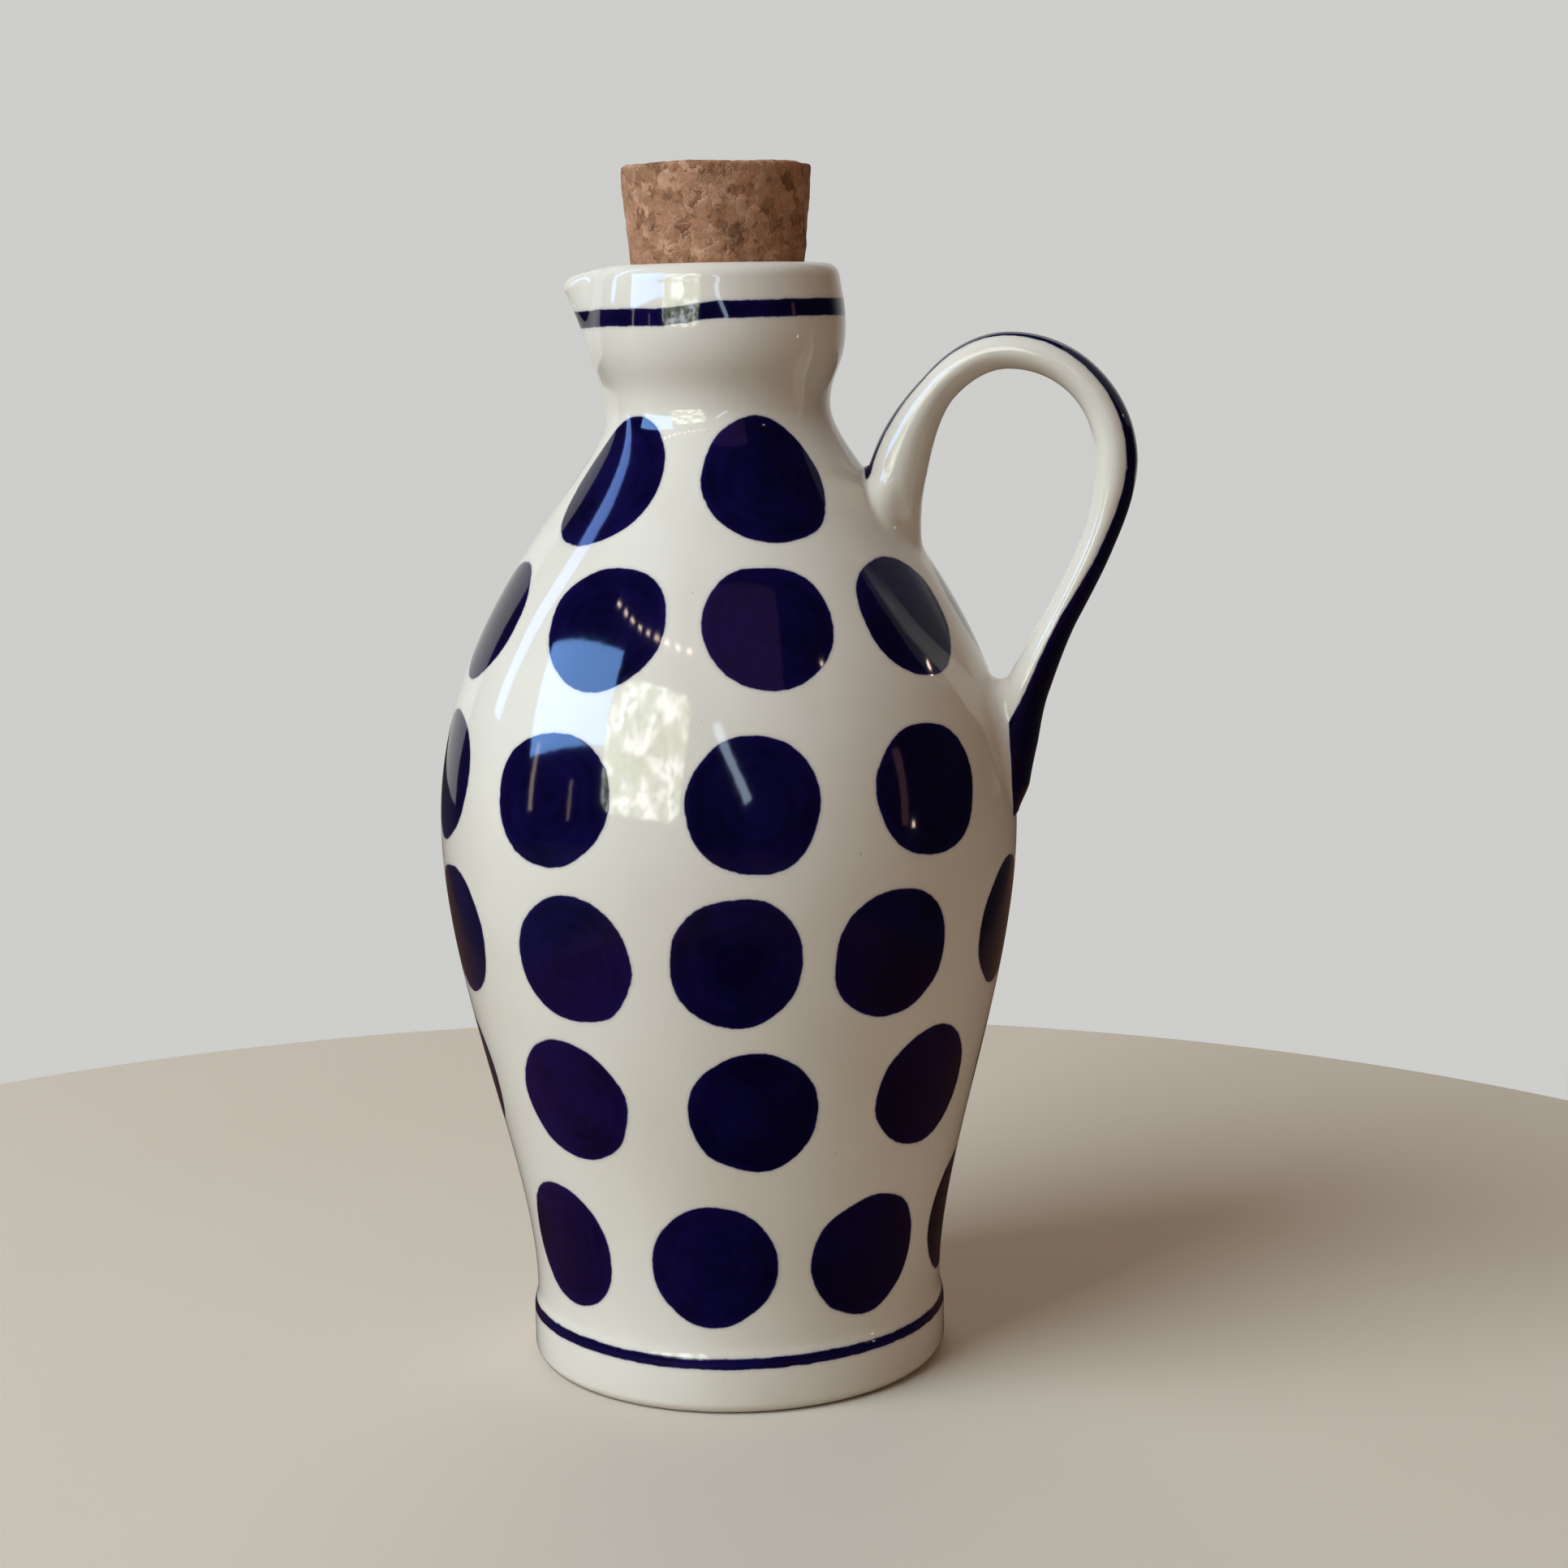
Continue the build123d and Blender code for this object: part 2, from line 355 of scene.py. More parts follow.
    def inside(self, cork: "CorkStopper") -> list[Vector]:
        """Outline from the flat of the rim through the mouth and down the hollow to the floor's centre.

        Args:
            cork: The stopper, whose cone the seat follows.

        Returns:
            The points, from the rim to the axis.
        """
        top, bottom = self.rim_height, cork.bottom_height - self.seat_overrun
        lip = place(self.seat_radius(top, cork) + self.mouth_round, top)
        under = place(self.seat_radius(top - self.mouth_round, cork), top - self.mouth_round)
        turn = place(self.seat_radius(top, cork), top)
        mouth = rounded(lip, turn, under, self.corner_points)
        throat = place(self.seat_radius(bottom, cork), bottom)
        seat = straight(under, throat, self.seat_steps)
        side = joined(self.lower_side()[::2], self.shoulder()[: self.hollow_reach : 2])
        hollow = self.offset_inwards(side)[::-1]
        slope = (hollow[0] - hollow[1]).normalized()
        run = (hollow[0] - throat).length / 3
        leave, arrive = throat - UP * run, hollow[0] + slope * run
        neck = interpolate_bezier(throat, leave, arrive, hollow[0], self.neck_points)
        wall_foot = place(hollow[-1].x, self.floor_height + self.floor_corner)
        hollow = [p for p in hollow if p.z > wall_foot.z] + [wall_foot]
        heel = place(wall_foot.x - self.floor_corner, self.floor_height)
        bend = rounded(wall_foot, place(wall_foot.x, self.floor_height), heel, self.corner_points)
        floor = straight(heel, place(0, self.floor_height), self.floor_steps)
        return joined(mouth, seat, neck, hollow, bend, floor)

    def offset_inwards(self, points: list[Vector]) -> list[Vector]:
        """Moves an outline straight through the clay by the wall's thickness.

        Args:
            points: The outline, from the foot upwards.

        Returns:
            The moved points, in the same order.
        """
        moved = []
        for index, point in enumerate(points):
            along = points[min(index + 1, len(points) - 1)] - points[max(index - 1, 0)]
            along.normalize()
            moved.append(point + Vector((-along.z, 0, along.x)) * self.wall)
        return moved

    def look_up(self, height: float, column: list[float]) -> float:
        """Reads one of the kept columns at a height, between the points on each side.

        Args:
            height: Height above the table, held to the outline's ends.
            column: Radii or slants of the outline's points.

        Returns:
            The value at that height.
        """
        index = min(max(bisect_right(self.heights, height), 1), len(self.heights) - 1)
        low, high = self.heights[index - 1], self.heights[index]
        share = min(1.0, max(0.0, (height - low) / max(high - low, 1e-9)))
        return column[index - 1] + (column[index] - column[index - 1]) * share

    def radius(self, height: float) -> float:
        """Outer radius at a height."""
        return self.look_up(height, self.radii)

    def slant(self, height: float) -> float:
        """Length along the clay from the foot up to a height."""
        return self.look_up(height, self.slants)

    def lean(self, height: float) -> float:
        """How fast the outer radius grows with height."""
        return (self.radius(height + MM) - self.radius(height - MM)) / (2 * MM)

    def normal(self, point: Vector) -> Vector:
        """Direction straight out of the clay above a point."""
        return (Vector((point.x, point.y, 0)).normalized() - UP * self.lean(point.z)).normalized()

    def clearance(self, point: Vector) -> float:
        """How far a point stands out of the bottle's side, negative inside it."""
        return (math.hypot(point.x, point.y) - self.radius(point.z)) / math.hypot(1, self.lean(point.z))


@dataclass
class PouringLip:
    """Lip pinched out of the collar towards -X, with the channel inside it."""

    form: BottleForm
    reach: float
    half_angle: float = math.radians(40)
    keel: float = 0.025
    keel_pulls: tuple[float, float] = (0.005, 0.0103)
    keel_tilt: float = math.radians(23)
    keel_points: int = 60
    skin: float = 0.0002
    pinch_low: float = 3.0
    pinch_high: float = 6.2
    drop: float = 0.0013
    channel_half_angle: float = math.radians(34)
    channel_depth: float = 0.0095
    channel_pinch: float = 4.0
    channel_growth: float = 1.2
    channel_throat: float = 0.0042
    land: float = 0.0014
    crest: list[Vector] = field(default_factory=list)

    def __post_init__(self) -> None:
        """Draws the lip's crest, from the neck out to its tip."""
        top = self.form.rim_height - self.form.rim_round
        start = place(self.form.radius(top - self.keel) - self.skin, top - self.keel)
        tip = place(self.reach, top)
        lean = place(math.sin(self.keel_tilt), math.cos(self.keel_tilt))
        pull_out = tip - lean * self.keel_pulls[1]
        pull_up = start + UP * self.keel_pulls[0]
        self.crest = interpolate_bezier(start, pull_up, pull_out, tip, self.keel_points)

    def stand_out(self, height: float) -> float:
        """Measures how far the crest stands out of the turned side.

        Args:
            height: Height above the table.

        Returns:
            The distance in metres, 0 where the crest is inside.
        """
        index = min(max(bisect_right(self.crest, height, key=lambda p: p.z), 1), len(self.crest) - 1)
        low, high = self.crest[index - 1], self.crest[index]
        share = min(1.0, (height - low.z) / (high.z - low.z))
        side = min(height, self.form.rim_height - self.form.rim_round)
        return max(0.0, low.x + (high.x - low.x) * share - self.form.radius(side))

    def shape(self, point: Vector) -> Vector:
        """Where a point of the round bottle goes when the lip is pinched out.

        Args:
            point: A point of the turned bottle.

        Returns:
            The point on the finished bottle.
        """
        radius = math.hypot(point.x, point.y)
        turn = math.atan2(point.y, -point.x)
        rim = self.form.rim_height
        if radius < 1e-6 or abs(turn) > self.half_angle or point.z < rim - self.form.rim_round - self.keel:
            return point
        share = min(1.0, (point.z - rim + self.form.rim_round + self.keel) / self.keel)
        land_radius = self.form.rim_radius - self.form.rim_round
        pinch = self.pinch_low + (self.pinch_high - self.pinch_low) * share
        fold = math.cos(turn / self.half_angle * math.pi / 2) ** pinch
        if radius > land_radius - self.skin:
            push = self.stand_out(point.z) * fold
        else:
            push = self.channel_push(turn, point.z, land_radius)
        moved = radius + push
        sink = self.drop * fold * share**5
        return Vector((-moved * math.cos(turn), moved * math.sin(turn), point.z - sink))

    def channel_push(self, turn: float, height: float, land_radius: float) -> float:
        """Measures how far the wall of the mouth moves out for the channel.

        Args:
            turn: Angle from the lip's middle.
            height: Height above the table.
            land_radius: Radius at which the flat of the rim ends.

        Returns:
            The push in metres, 0 beside the channel and below it.
        """
        depth = (self.form.rim_height - height) / self.channel_depth
        if abs(turn) > self.channel_half_angle or depth > 1:
            return 0.0
        fold = math.cos(turn / self.channel_half_angle * math.pi / 2) ** self.channel_pinch
        end = land_radius + self.reach - self.form.rim_radius - self.land
        return (end - self.form.rim_radius + self.channel_throat) * fold * (1 - depth) ** self.channel_growth


# ---------------------------------------------------------------- painted pattern


@dataclass(frozen=True)
class DotRow:
    """One row of stamped dots: degrees round the bottle from the handle, and sizes in millimetres."""

    height: float
    angles: tuple[float, ...]
    width: float = 21.3
    length: float = 21.6
    taper: float = 0.0


@dataclass(frozen=True)
class Dot:
    """One stamped dot with the wobble of its edge, in metres and radians."""

    angle: float
    height: float
    half_width: float
    half_length: float
    taper: float
    tilt: float
    wobble: tuple[tuple[int, float, float], ...]

    def distance(self, form: BottleForm, point: Vector) -> float:
        """How far a point on the clay lies outside the dot's edge, negative inside it.

        Args:
            form: The bottle that carries the dot.
            point: A point on its outside.

        Returns:
            The distance in metres, near enough to true close to the edge.
        """
        turn = (math.atan2(point.y, point.x) - self.angle + math.pi) % math.tau - math.pi
        across = turn * form.radius(point.z)
        along = form.slant(point.z) - form.slant(self.height)
        across *= 1 + self.taper * along / self.half_length
        cos, sin = math.cos(self.tilt), math.sin(self.tilt)
        across, along = across * cos + along * sin, along * cos - across * sin
        size = math.hypot(across / self.half_width, along / self.half_length)
        way = math.atan2(along, across)
        edge = 1 + sum(depth * math.cos(count * way + phase) for count, depth, phase in self.wobble)
        return (size - edge) * (self.half_width + self.half_length) / 2


@dataclass
class Decoration:
    """Cobalt pattern of the body: rows of dots, a band on the collar and a line above the foot."""

    form: BottleForm
    rows: tuple[DotRow, ...] = (
        DotRow(25.7, (-127, -82.4, -40.5, 2, 47, 91, 136, 184), 21.0, 21.6),
        DotRow(53.4, (-160, -114.3, -72.1, -29.5, 13, 58, 101, 147), 21.2, 21.4),
        DotRow(78.0, (-146, -108.2, -75.3, -43.6, -5, 31, 66, 102, 139, 177), 21.2, 21.7),
        DotRow(103.6, (-150.5, -111.9, -71.5, -34.5, 37, 76, 114, 157), 21.8, 21.6),
        DotRow(129.3, (-150, -105.5, -66, -26.6, 14, 54, 92, 131, 171), 21.0, 21.3),
        DotRow(151.4, (-183, -123.5, -59.6, 61, 119), 20.3, 23.6, 0.17),
    )
    collar_band: float = 0.1785
    collar_band_dip: float = 0.0012
    collar_band_width: float = 0.0028
    collar_dip_turns: tuple[float, float] = (72.0, 106.0)
    foot_line: float = 0.0089
    foot_line_width: float = 0.0018
    collar_wander: float = 0.00012
    line_wander: tuple[float, float] = (0.00010, 0.00006)
    height_error: float = 0.5
    size_errors: tuple[float, float] = (0.985, 1.015)
    tilt_error: float = 0.06
    edge_error: float = 0.050
    row_reach: float = 0.018
    skin: float = 0.0004
    seed: int = 11
    dots: list[list[Dot]] = field(default_factory=list)

    def __post_init__(self) -> None:
        """Stamps every row, each dot with its own small error of place, size and edge."""
        chance = random.Random(self.seed)
        self.dots = [[self.stamp(row, angle, chance) for angle in row.angles] for row in self.rows]

    def stamp(self, row: DotRow, angle: float, chance: random.Random) -> Dot:
        """One dot of a row.

        Args:
            row: The row that it belongs to.
            angle: Its place round the bottle in degrees, from the handle.
            chance: Source of the hand's small errors.

        Returns:
            The dot, in metres and radians.
        """
        wobble = tuple(
            (count, chance.uniform(0.2, 1.0) * self.edge_error / count**1.15, chance.uniform(0, math.tau))
            for count in range(2, 9)
        )
        return Dot(
            math.radians(angle),
            (row.height + chance.uniform(-self.height_error, self.height_error)) * MM,
            row.width / 2 * chance.uniform(*self.size_errors) * MM,
            row.length / 2 * chance.uniform(*self.size_errors) * MM,
            row.taper,
            chance.uniform(-self.tilt_error, self.tilt_error),
            wobble,
        )

    def distance(self, point: Vector) -> float:
        """Measures how far a point of the body lies from the nearest paint.

        Args:
            point: A point of the finished bottle.

        Returns:
            The distance in metres, negative inside the paint and held at FAR.
        """
        height = point.z
        if math.hypot(point.x, point.y) < self.form.radius(height) - self.skin or height < self.form.foot_edge:
            return FAR
        nearest = min(FAR, self.band_distance(point), self.line_distance(point))
        for dots in self.dots:
            if abs(self.form.slant(height) - self.form.slant(dots[0].height)) < self.row_reach:
                nearest = min(nearest, *(dot.distance(self.form, point) for dot in dots))
        return nearest

    def band_distance(self, point: Vector) -> float:
        """Measures the distance to the band round the collar, which dips under the lip.

        Args:
            point: A point on the clay.

        Returns:
            The distance in metres, negative inside the band.
        """
        turn = abs(math.degrees(math.atan2(point.y, point.x)))
        centre = self.collar_band - self.collar_band_dip * smooth_share(turn, *self.collar_dip_turns)
        wander = self.collar_wander * math.sin(3 * math.radians(turn) + 1.0)
        return abs(point.z - centre - wander) - self.collar_band_width / 2

    def line_distance(self, point: Vector) -> float:
        """Measures the distance to the thin line in the step above the foot.

        Args:
            point: A point on the clay.

        Returns:
            The distance in metres, negative inside the line.
        """
        turn = math.atan2(point.y, point.x)
        slow, quick = self.line_wander
        wander = slow * math.sin(2 * turn + 0.4) + quick * math.sin(5 * turn)
        return abs(point.z - self.foot_line - wander) - self.foot_line_width / 2


# ---------------------------------------------------------------- shader nodes


Input = Union[float, tuple, "Value"]
Inputs = Union[list, dict, None]


class Value:
    """A shader socket in an expression: each operator adds the Math node that it stands for."""

    def __init__(self, graph: "Graph", socket: bpy.types.NodeSocket) -> None:
        """Keeps the socket and the graph that new nodes go into."""
        self.graph = graph
        self.socket = socket

    def math(self, operation: str, *others: Input) -> "Value":
        """Result of a Math node with this value first."""
        return self.graph.value("ShaderNodeMath", [self, *others], operation=operation)

    def __add__(self, other: Input) -> "Value":
        """Sum."""
        return self.math("ADD", other)

    def __radd__(self, other: Input) -> "Value":
        """Sum with a number first."""
        return self.math("ADD", other)

    def __sub__(self, other: Input) -> "Value":
        """Difference."""
        return self.math("SUBTRACT", other)

    def __rsub__(self, other: Input) -> "Value":
        """Difference with a number first."""
        return self.graph.value("ShaderNodeMath", [other, self], operation="SUBTRACT")

    def __mul__(self, other: Input) -> "Value":
        """Product."""
        return self.math("MULTIPLY", other)

    def __rmul__(self, other: Input) -> "Value":
        """Product with a number first."""
        return self.math("MULTIPLY", other)

    def smooth(self, low: float, high: float) -> "Value":
        """Eased step from 0 at low to 1 at high."""
        limits = [self, low, high, 0.0, 1.0]
        return self.graph.value("ShaderNodeMapRange", limits, interpolation_type="SMOOTHSTEP")


class Graph:
    """The nodes of one material or world."""

    def __init__(self, owner: Union[bpy.types.Material, bpy.types.World]) -> None:
        """Empties the nodes of a new material or world.

        Args:
            owner: The material or world.
        """
        owner.use_nodes = True
        self.owner = owner
        self.tree = owner.node_tree
        self.tree.nodes.clear()

    @classmethod
    def of_material(cls, name: str) -> "Graph":
        """Graph of a new material."""
        return cls(bpy.data.materials.new(name))

    def node(self, kind: str, inputs: Inputs = None, **settings: object) -> bpy.types.Node:
        """Adds a node.

        Args:
            kind: The node's type.
            inputs: Values or links of its sockets, in order or by name.
            **settings: The node's own settings, or stops for a ramp, which are set first.

        Returns:
            The new node.
        """
        node = self.tree.nodes.new(kind)
        stops = settings.pop("stops", None)
        for name, setting in settings.items():
            setattr(node, name, setting)
        if stops:
            ramp = node.color_ramp
            while len(ramp.elements) < len(stops):
                ramp.elements.new(0.5)
            for element, (position, colour) in zip(ramp.elements, stops):
                element.position, element.color = position, (*colour, 1)
        pairs = inputs.items() if isinstance(inputs, dict) else enumerate(inputs or [])
        for key, given in pairs:
            if isinstance(given, Value):
                self.tree.links.new(given.socket, node.inputs[key])
            elif given is not None:
                node.inputs[key].default_value = given
        return node

    def value(self, kind: str, inputs: Inputs = None, output: int = 0, **settings: object) -> Value:
        """Adds a node and returns one of its outputs as a value."""
        return Value(self, self.node(kind, inputs, **settings).outputs[output])

    def place(self) -> Value:
        """Object coordinates, in metres."""
        return self.value("ShaderNodeTexCoord", output=3)

    def axes(self) -> list[Value]:
        """Object coordinates one by one: right, back and up."""
        return [Value(self, axis) for axis in self.node("ShaderNodeSeparateXYZ", [self.place()]).outputs]

    def layer(self, layer: Layer) -> Value:
        """A mesh attribute, in millimetres."""
        return self.value("ShaderNodeAttribute", output=2, attribute_name=layer.value)

    def noise(self, scale: float, detail: float = 2.0, where: Union[Value, None] = None) -> Value:
        """Smooth noise from 0 to 1 about a half, with a number of features a metre."""
        spot = where or self.place()
        return self.value("ShaderNodeTexNoise", {"Vector": spot, "Scale": scale, "Detail": detail})

    def mix(self, factor: Input, first: Input, second: Input) -> Value:
        """A colour from first at 0 to second at 1."""
        first, second = (given if isinstance(given, Value) else (*given, 1) for given in (first, second))
        return self.value("ShaderNodeMix", {0: factor, 6: first, 7: second}, output=2, data_type="RGBA")

    def finish(
        self, colour: Value, roughness: Value, height: Value, ior: float, **others: Input
    ) -> bpy.types.Material:
        """Adds the surface shader and the output.

        Args:
            colour: Base colour.
            roughness: Roughness.
            height: Relief in metres, which bends the normal.
            ior: Index of refraction.
            **others: Other sockets of the shader by name.

        Returns:
            The finished material.
        """
        bump = self.value("ShaderNodeBump", {"Strength": 1.0, "Distance": 1.0, "Height": height})
        sockets = {"Base Color": colour, "Roughness": roughness, "Normal": bump, "IOR": ior, **others}
        shader = self.value("ShaderNodeBsdfPrincipled", sockets)
        self.node("ShaderNodeOutputMaterial", {"Surface": shader})
        return self.owner

    def shine(
        self, colour: Value, roughness: Value, height: Value, glow: Value, strength: float = 1.0
    ) -> bpy.types.Material:
        """Adds the surface shader of a dull card that gives light of its own.

        Args:
            colour: Base colour.
            roughness: Roughness.
            height: Relief in metres.
            glow: Colour of its light.
            strength: Strength of its light.

        Returns:
            The finished material.
        """
        light = {"Emission Color": glow, "Emission Strength": strength}
        return self.finish(colour, roughness, height, DULL_IOR, **light)


# ---------------------------------------------------------------- finishes


@dataclass(frozen=True)
class CobaltGlaze:
    """Clear glossy glaze over warm white clay, with cobalt painted under it."""

    name: str
    clay: Colour = (0.715, 0.658, 0.572)
    clay_shade: Colour = (0.67, 0.608, 0.518)
    speck: Colour = (0.30, 0.24, 0.18)
    biscuit: Colour = (0.70, 0.66, 0.59)
    cobalt: Colour = (0.0016, 0.0008, 0.014)
    cobalt_thin: Colour = (0.006, 0.0035, 0.052)
    halo: Colour = (0.11, 0.13, 0.30)
    smoothness: float = 0.045
    ripple: float = 0.00028
    ior: float = 1.45

    def make(self) -> bpy.types.Material:
        """Builds the material.

        Returns:
            The node material, which reads the cobalt and biscuit layers.
        """
        graph = Graph.of_material(self.name)
        spot = graph.place()
        cobalt = graph.layer(Layer.COBALT)
        edge = cobalt + (graph.noise(700, 2, spot) - 0.5) * 0.30 + (graph.noise(260, 1, spot) - 0.5) * 0.25
        painted = 1 - edge.smooth(-0.16, 0.16)
        bleed = (1 - edge.smooth(0.0, 0.8)) * 0.16

        cloud = graph.noise(38, 3, spot).smooth(0.35, 0.7)
        clay = graph.mix(cloud, self.clay, self.clay_shade)
        specks = graph.noise(1500, 1, spot).smooth(0.765, 0.80) * graph.noise(90, 1, spot).smooth(0.5, 0.62)
        clay = graph.mix(specks * 0.55, clay, self.speck)
        clay = graph.mix(bleed, clay, self.halo)

        drift = cobalt + graph.noise(120, 1, spot) * 3.0
        rings = (drift * 2.4).math("SINE") * 0.5 + 0.5
        brim = cobalt.smooth(-1.0, -0.1)
        uneven = graph.noise(90, 2, spot).smooth(0.35, 0.7)
        thin = (rings * 0.16 + brim * 0.35 + uneven * 0.45).math("MINIMUM", 1.0)
        paint = graph.mix(thin, self.cobalt, self.cobalt_thin)
        colour = graph.mix(painted, clay, paint)

        bare = 1 - graph.layer(Layer.BISCUIT).smooth(-0.2, 0.2)
        colour = graph.mix(bare, colour, self.biscuit)
        roughness = self.smoothness + graph.noise(60, 2, spot) * 0.03 + bare * 0.6
        ripple = graph.noise(42, 1, spot) * self.ripple + graph.noise(170, 2, spot) * 0.000022
        relief = ripple - painted * 0.000006 + bare * graph.noise(2600, 3, spot) * 0.00006
        return graph.finish(colour, roughness, relief, self.ior)


@dataclass(frozen=True)
class GroundCork:
    """Pressed cork granules of several browns, with dark gaps and pits between them."""

    name: str = "ground_cork"
    pale: Colour = (0.62, 0.385, 0.245)
    tan: Colour = (0.42, 0.205, 0.115)
    brown: Colour = (0.29, 0.135, 0.066)
    dark: Colour = (0.115, 0.046, 0.023)
    olive: Colour = (0.33, 0.195, 0.098)
    granules: float = 480.0
    warp: float = 0.0030
    ior: float = 1.35
    specular: float = 0.25

    def make(self) -> bpy.types.Material:
        """Builds the material.

        Returns:
            The node material.
        """
        graph = Graph.of_material(self.name)
        spot = graph.place()
        drift = graph.value("ShaderNodeTexNoise", {"Vector": spot, "Scale": 700.0, "Detail": 4.0}, output=1)
        drift = graph.value("ShaderNodeVectorMath", [drift, (0.5, 0.5, 0.5)], operation="SUBTRACT")
        drift = graph.value("ShaderNodeVectorMath", {0: drift, "Scale": self.warp}, operation="SCALE")
        bent = graph.value("ShaderNodeVectorMath", [spot, drift], operation="ADD")
        cells = {"Vector": bent, "Scale": self.granules}
        tone = graph.value("ShaderNodeTexVoronoi", cells, output=1)
        tone = graph.value("ShaderNodeSeparateColor", [tone])
        gap = graph.value("ShaderNodeTexVoronoi", cells, feature="DISTANCE_TO_EDGE")
        crumb = graph.noise(1300, 4, bent)
        patch = graph.noise(330, 3, spot)
        shade = tone * 0.34 + crumb * 0.40 + patch * 0.46 - 0.12
        stops = [(0.20, self.dark), (0.38, self.brown), (0.54, self.tan), (0.80, self.pale)]
        colour = graph.value("ShaderNodeValToRGB", [shade], stops=stops)
        seam = 1 - gap.smooth(0.0, 0.09)
        pit = graph.noise(560, 3, bent).smooth(0.58, 0.74)
        rim = graph.noise(300, 1, spot).smooth(0.42, 0.6) * seam
        colour = graph.mix(graph.noise(420, 2, bent).smooth(0.50, 0.66) * 0.5, colour, self.olive)
        colour = graph.mix(rim * 0.45, colour, self.pale)
        colour = graph.mix(pit * 0.62, colour, self.dark)
        roughness = 0.74 + crumb * 0.16
        relief = crumb * 0.00014 - seam * 0.00005 - pit * 0.00016
        return graph.finish(colour, roughness, relief, self.ior, **{"Specular IOR Level": self.specular})


# ---------------------------------------------------------------- pieces


@dataclass
class CorkStopper:
    """Tapered cork: its ends come from the frame, its cone from the standard taper."""

    top_height: float
    bottom_height: float
    top_radius: float = 0.015875
    taper: float = 1 / 12
    inset: float = 0.00004
    grain: float = 0.00050
    edge: float = 0.00045
    sides: int = 160
    pits: tuple[tuple[float, float], ...] = ((0.0016, 0.00016), (0.0060, 0.00022))
    pit_intensity: float = 0.75
    pit_contrast: float = 2.2
    name: str = "cork_tapered"

    def radius(self, height: float) -> float:
        """Radius of the cone at a height."""
        return self.top_radius - (self.top_height - height) * self.taper

    def build(self, finish: bpy.types.Material) -> bpy.types.Object:
        """Models the cork with crumbled edges and small pits.

        Args:
            finish: Its material.

        Returns:
            The finished piece, riding on the stopper.
        """
        length = self.top_height - self.bottom_height - 2 * self.inset
        piece = start_piece(
            self.name,
            bpy.ops.mesh.primitive_cone_add,
            vertices=self.sides,
            radius1=self.radius(self.bottom_height) - self.inset,
            radius2=self.top_radius - self.inset,
            depth=length,
        )
        bpy.ops.mesh.bevel(offset=self.edge, segments=3, affect="EDGES")
        bpy.ops.transform.translate(value=UP * (self.bottom_height + self.inset + length / 2))
        close_piece()
        piece.modifiers.new("Grain", "REMESH").voxel_size = self.grain
        bpy.ops.object.modifier_apply(modifier="Grain")
        self.crumble(piece)
        bpy.ops.object.shade_smooth()
        piece.data.materials.append(finish)
        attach(piece, Carrier.STOPPER.value)
        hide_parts("cork_stopper")
        return piece

    def crumble(self, piece: bpy.types.Object) -> None:
        """Sinks small pits into the cork's skin and trims it back to its cone.

        Args:
            piece: The remeshed cork, which is the active object.
        """
        for size, depth in self.pits:
            texture = bpy.data.textures.new("pits_clouds", "CLOUDS")
            texture.noise_scale = size
            texture.intensity, texture.contrast = self.pit_intensity, self.pit_contrast
            sink = piece.modifiers.new("Pits", "DISPLACE")
            sink.texture, sink.texture_coords = texture, "LOCAL"
            sink.mid_level, sink.strength = 0.0, -depth
            bpy.ops.object.modifier_apply(modifier=sink.name)
            bpy.data.textures.remove(texture)
        for vertex in piece.data.vertices:
            spot = vertex.co
            spot.z = min(self.top_height, max(self.bottom_height, spot.z))
            limit = self.radius(spot.z) / max(math.hypot(spot.x, spot.y), self.grain)
            spot.xy *= min(1.0, limit)


@dataclass
class BottleBody:
    """Hollow turned body with its pinched lip and its painted pattern."""

    form: BottleForm
    lip: PouringLip
    cork: CorkStopper
    decoration: Decoration
    lip_steps: int = 100
    round_steps: int = 176
    lip_margin: float = math.radians(2)
    foot_wipe: float = 0.00025
    wipe_over: tuple[float, float] = (0.0006, 0.0003)
    name: str = "body_turned"

    def build(self, finish: bpy.types.Material) -> bpy.types.Object:
        """Models the body.

        Args:
            finish: Its glaze.

        Returns:
            The finished piece, riding on the bottle.
        """
        points = joined(self.form.underside() + self.form.outside(), self.form.inside(self.cork))
        piece = start_piece(self.name, bpy.ops.mesh.primitive_plane_add, size=MM)
        wedge = 2 * (self.lip.half_angle + self.lip_margin)
        sweeps = [(wedge, self.lip_steps), (math.tau - wedge, self.round_steps)]
        turn_outline(points, sweeps)
        close_piece()
        piece.data.transform(Matrix.Rotation(math.pi - wedge / 2, 4, "Z"))
        for vertex in piece.data.vertices:
            vertex.co = self.lip.shape(vertex.co)
        write_layer(piece, Layer.COBALT, self.decoration.distance)
        write_layer(piece, Layer.BISCUIT, self.bare_distance)
        piece.data.materials.append(finish)
        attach(piece, Carrier.BOTTLE.value)
        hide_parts("bottle_body")
        return piece

    def bare_distance(self, point: Vector) -> float:
        """Measures how far a point lies from the unglazed flat of the foot ring.

        Args:
            point: A point of the finished bottle.

        Returns:
            The distance in metres, negative on the flat.
        """
        radius = math.hypot(point.x, point.y)
        outer = self.form.foot_radius - self.form.foot_edge
        inner = outer - self.form.foot_ring_width
        past_outer, past_inner = radius - outer - self.wipe_over[0], inner - self.wipe_over[1] - radius
        return max(point.z - self.foot_wipe, past_outer, past_inner)


@dataclass(frozen=True)
class Station:
    """Section of the handle at a share of one stretch of its line, in millimetres and degrees."""

    curve: int
    share: float
    thickness: float
    width: float
    stripe: float


@dataclass(frozen=True)
class Ring:
    """Oval of the handle at a place on its line, in metres, with its stripe's half angle in radians."""

    centre: Vector
    along: Vector
    thickness: float
    width: float
    stripe: float


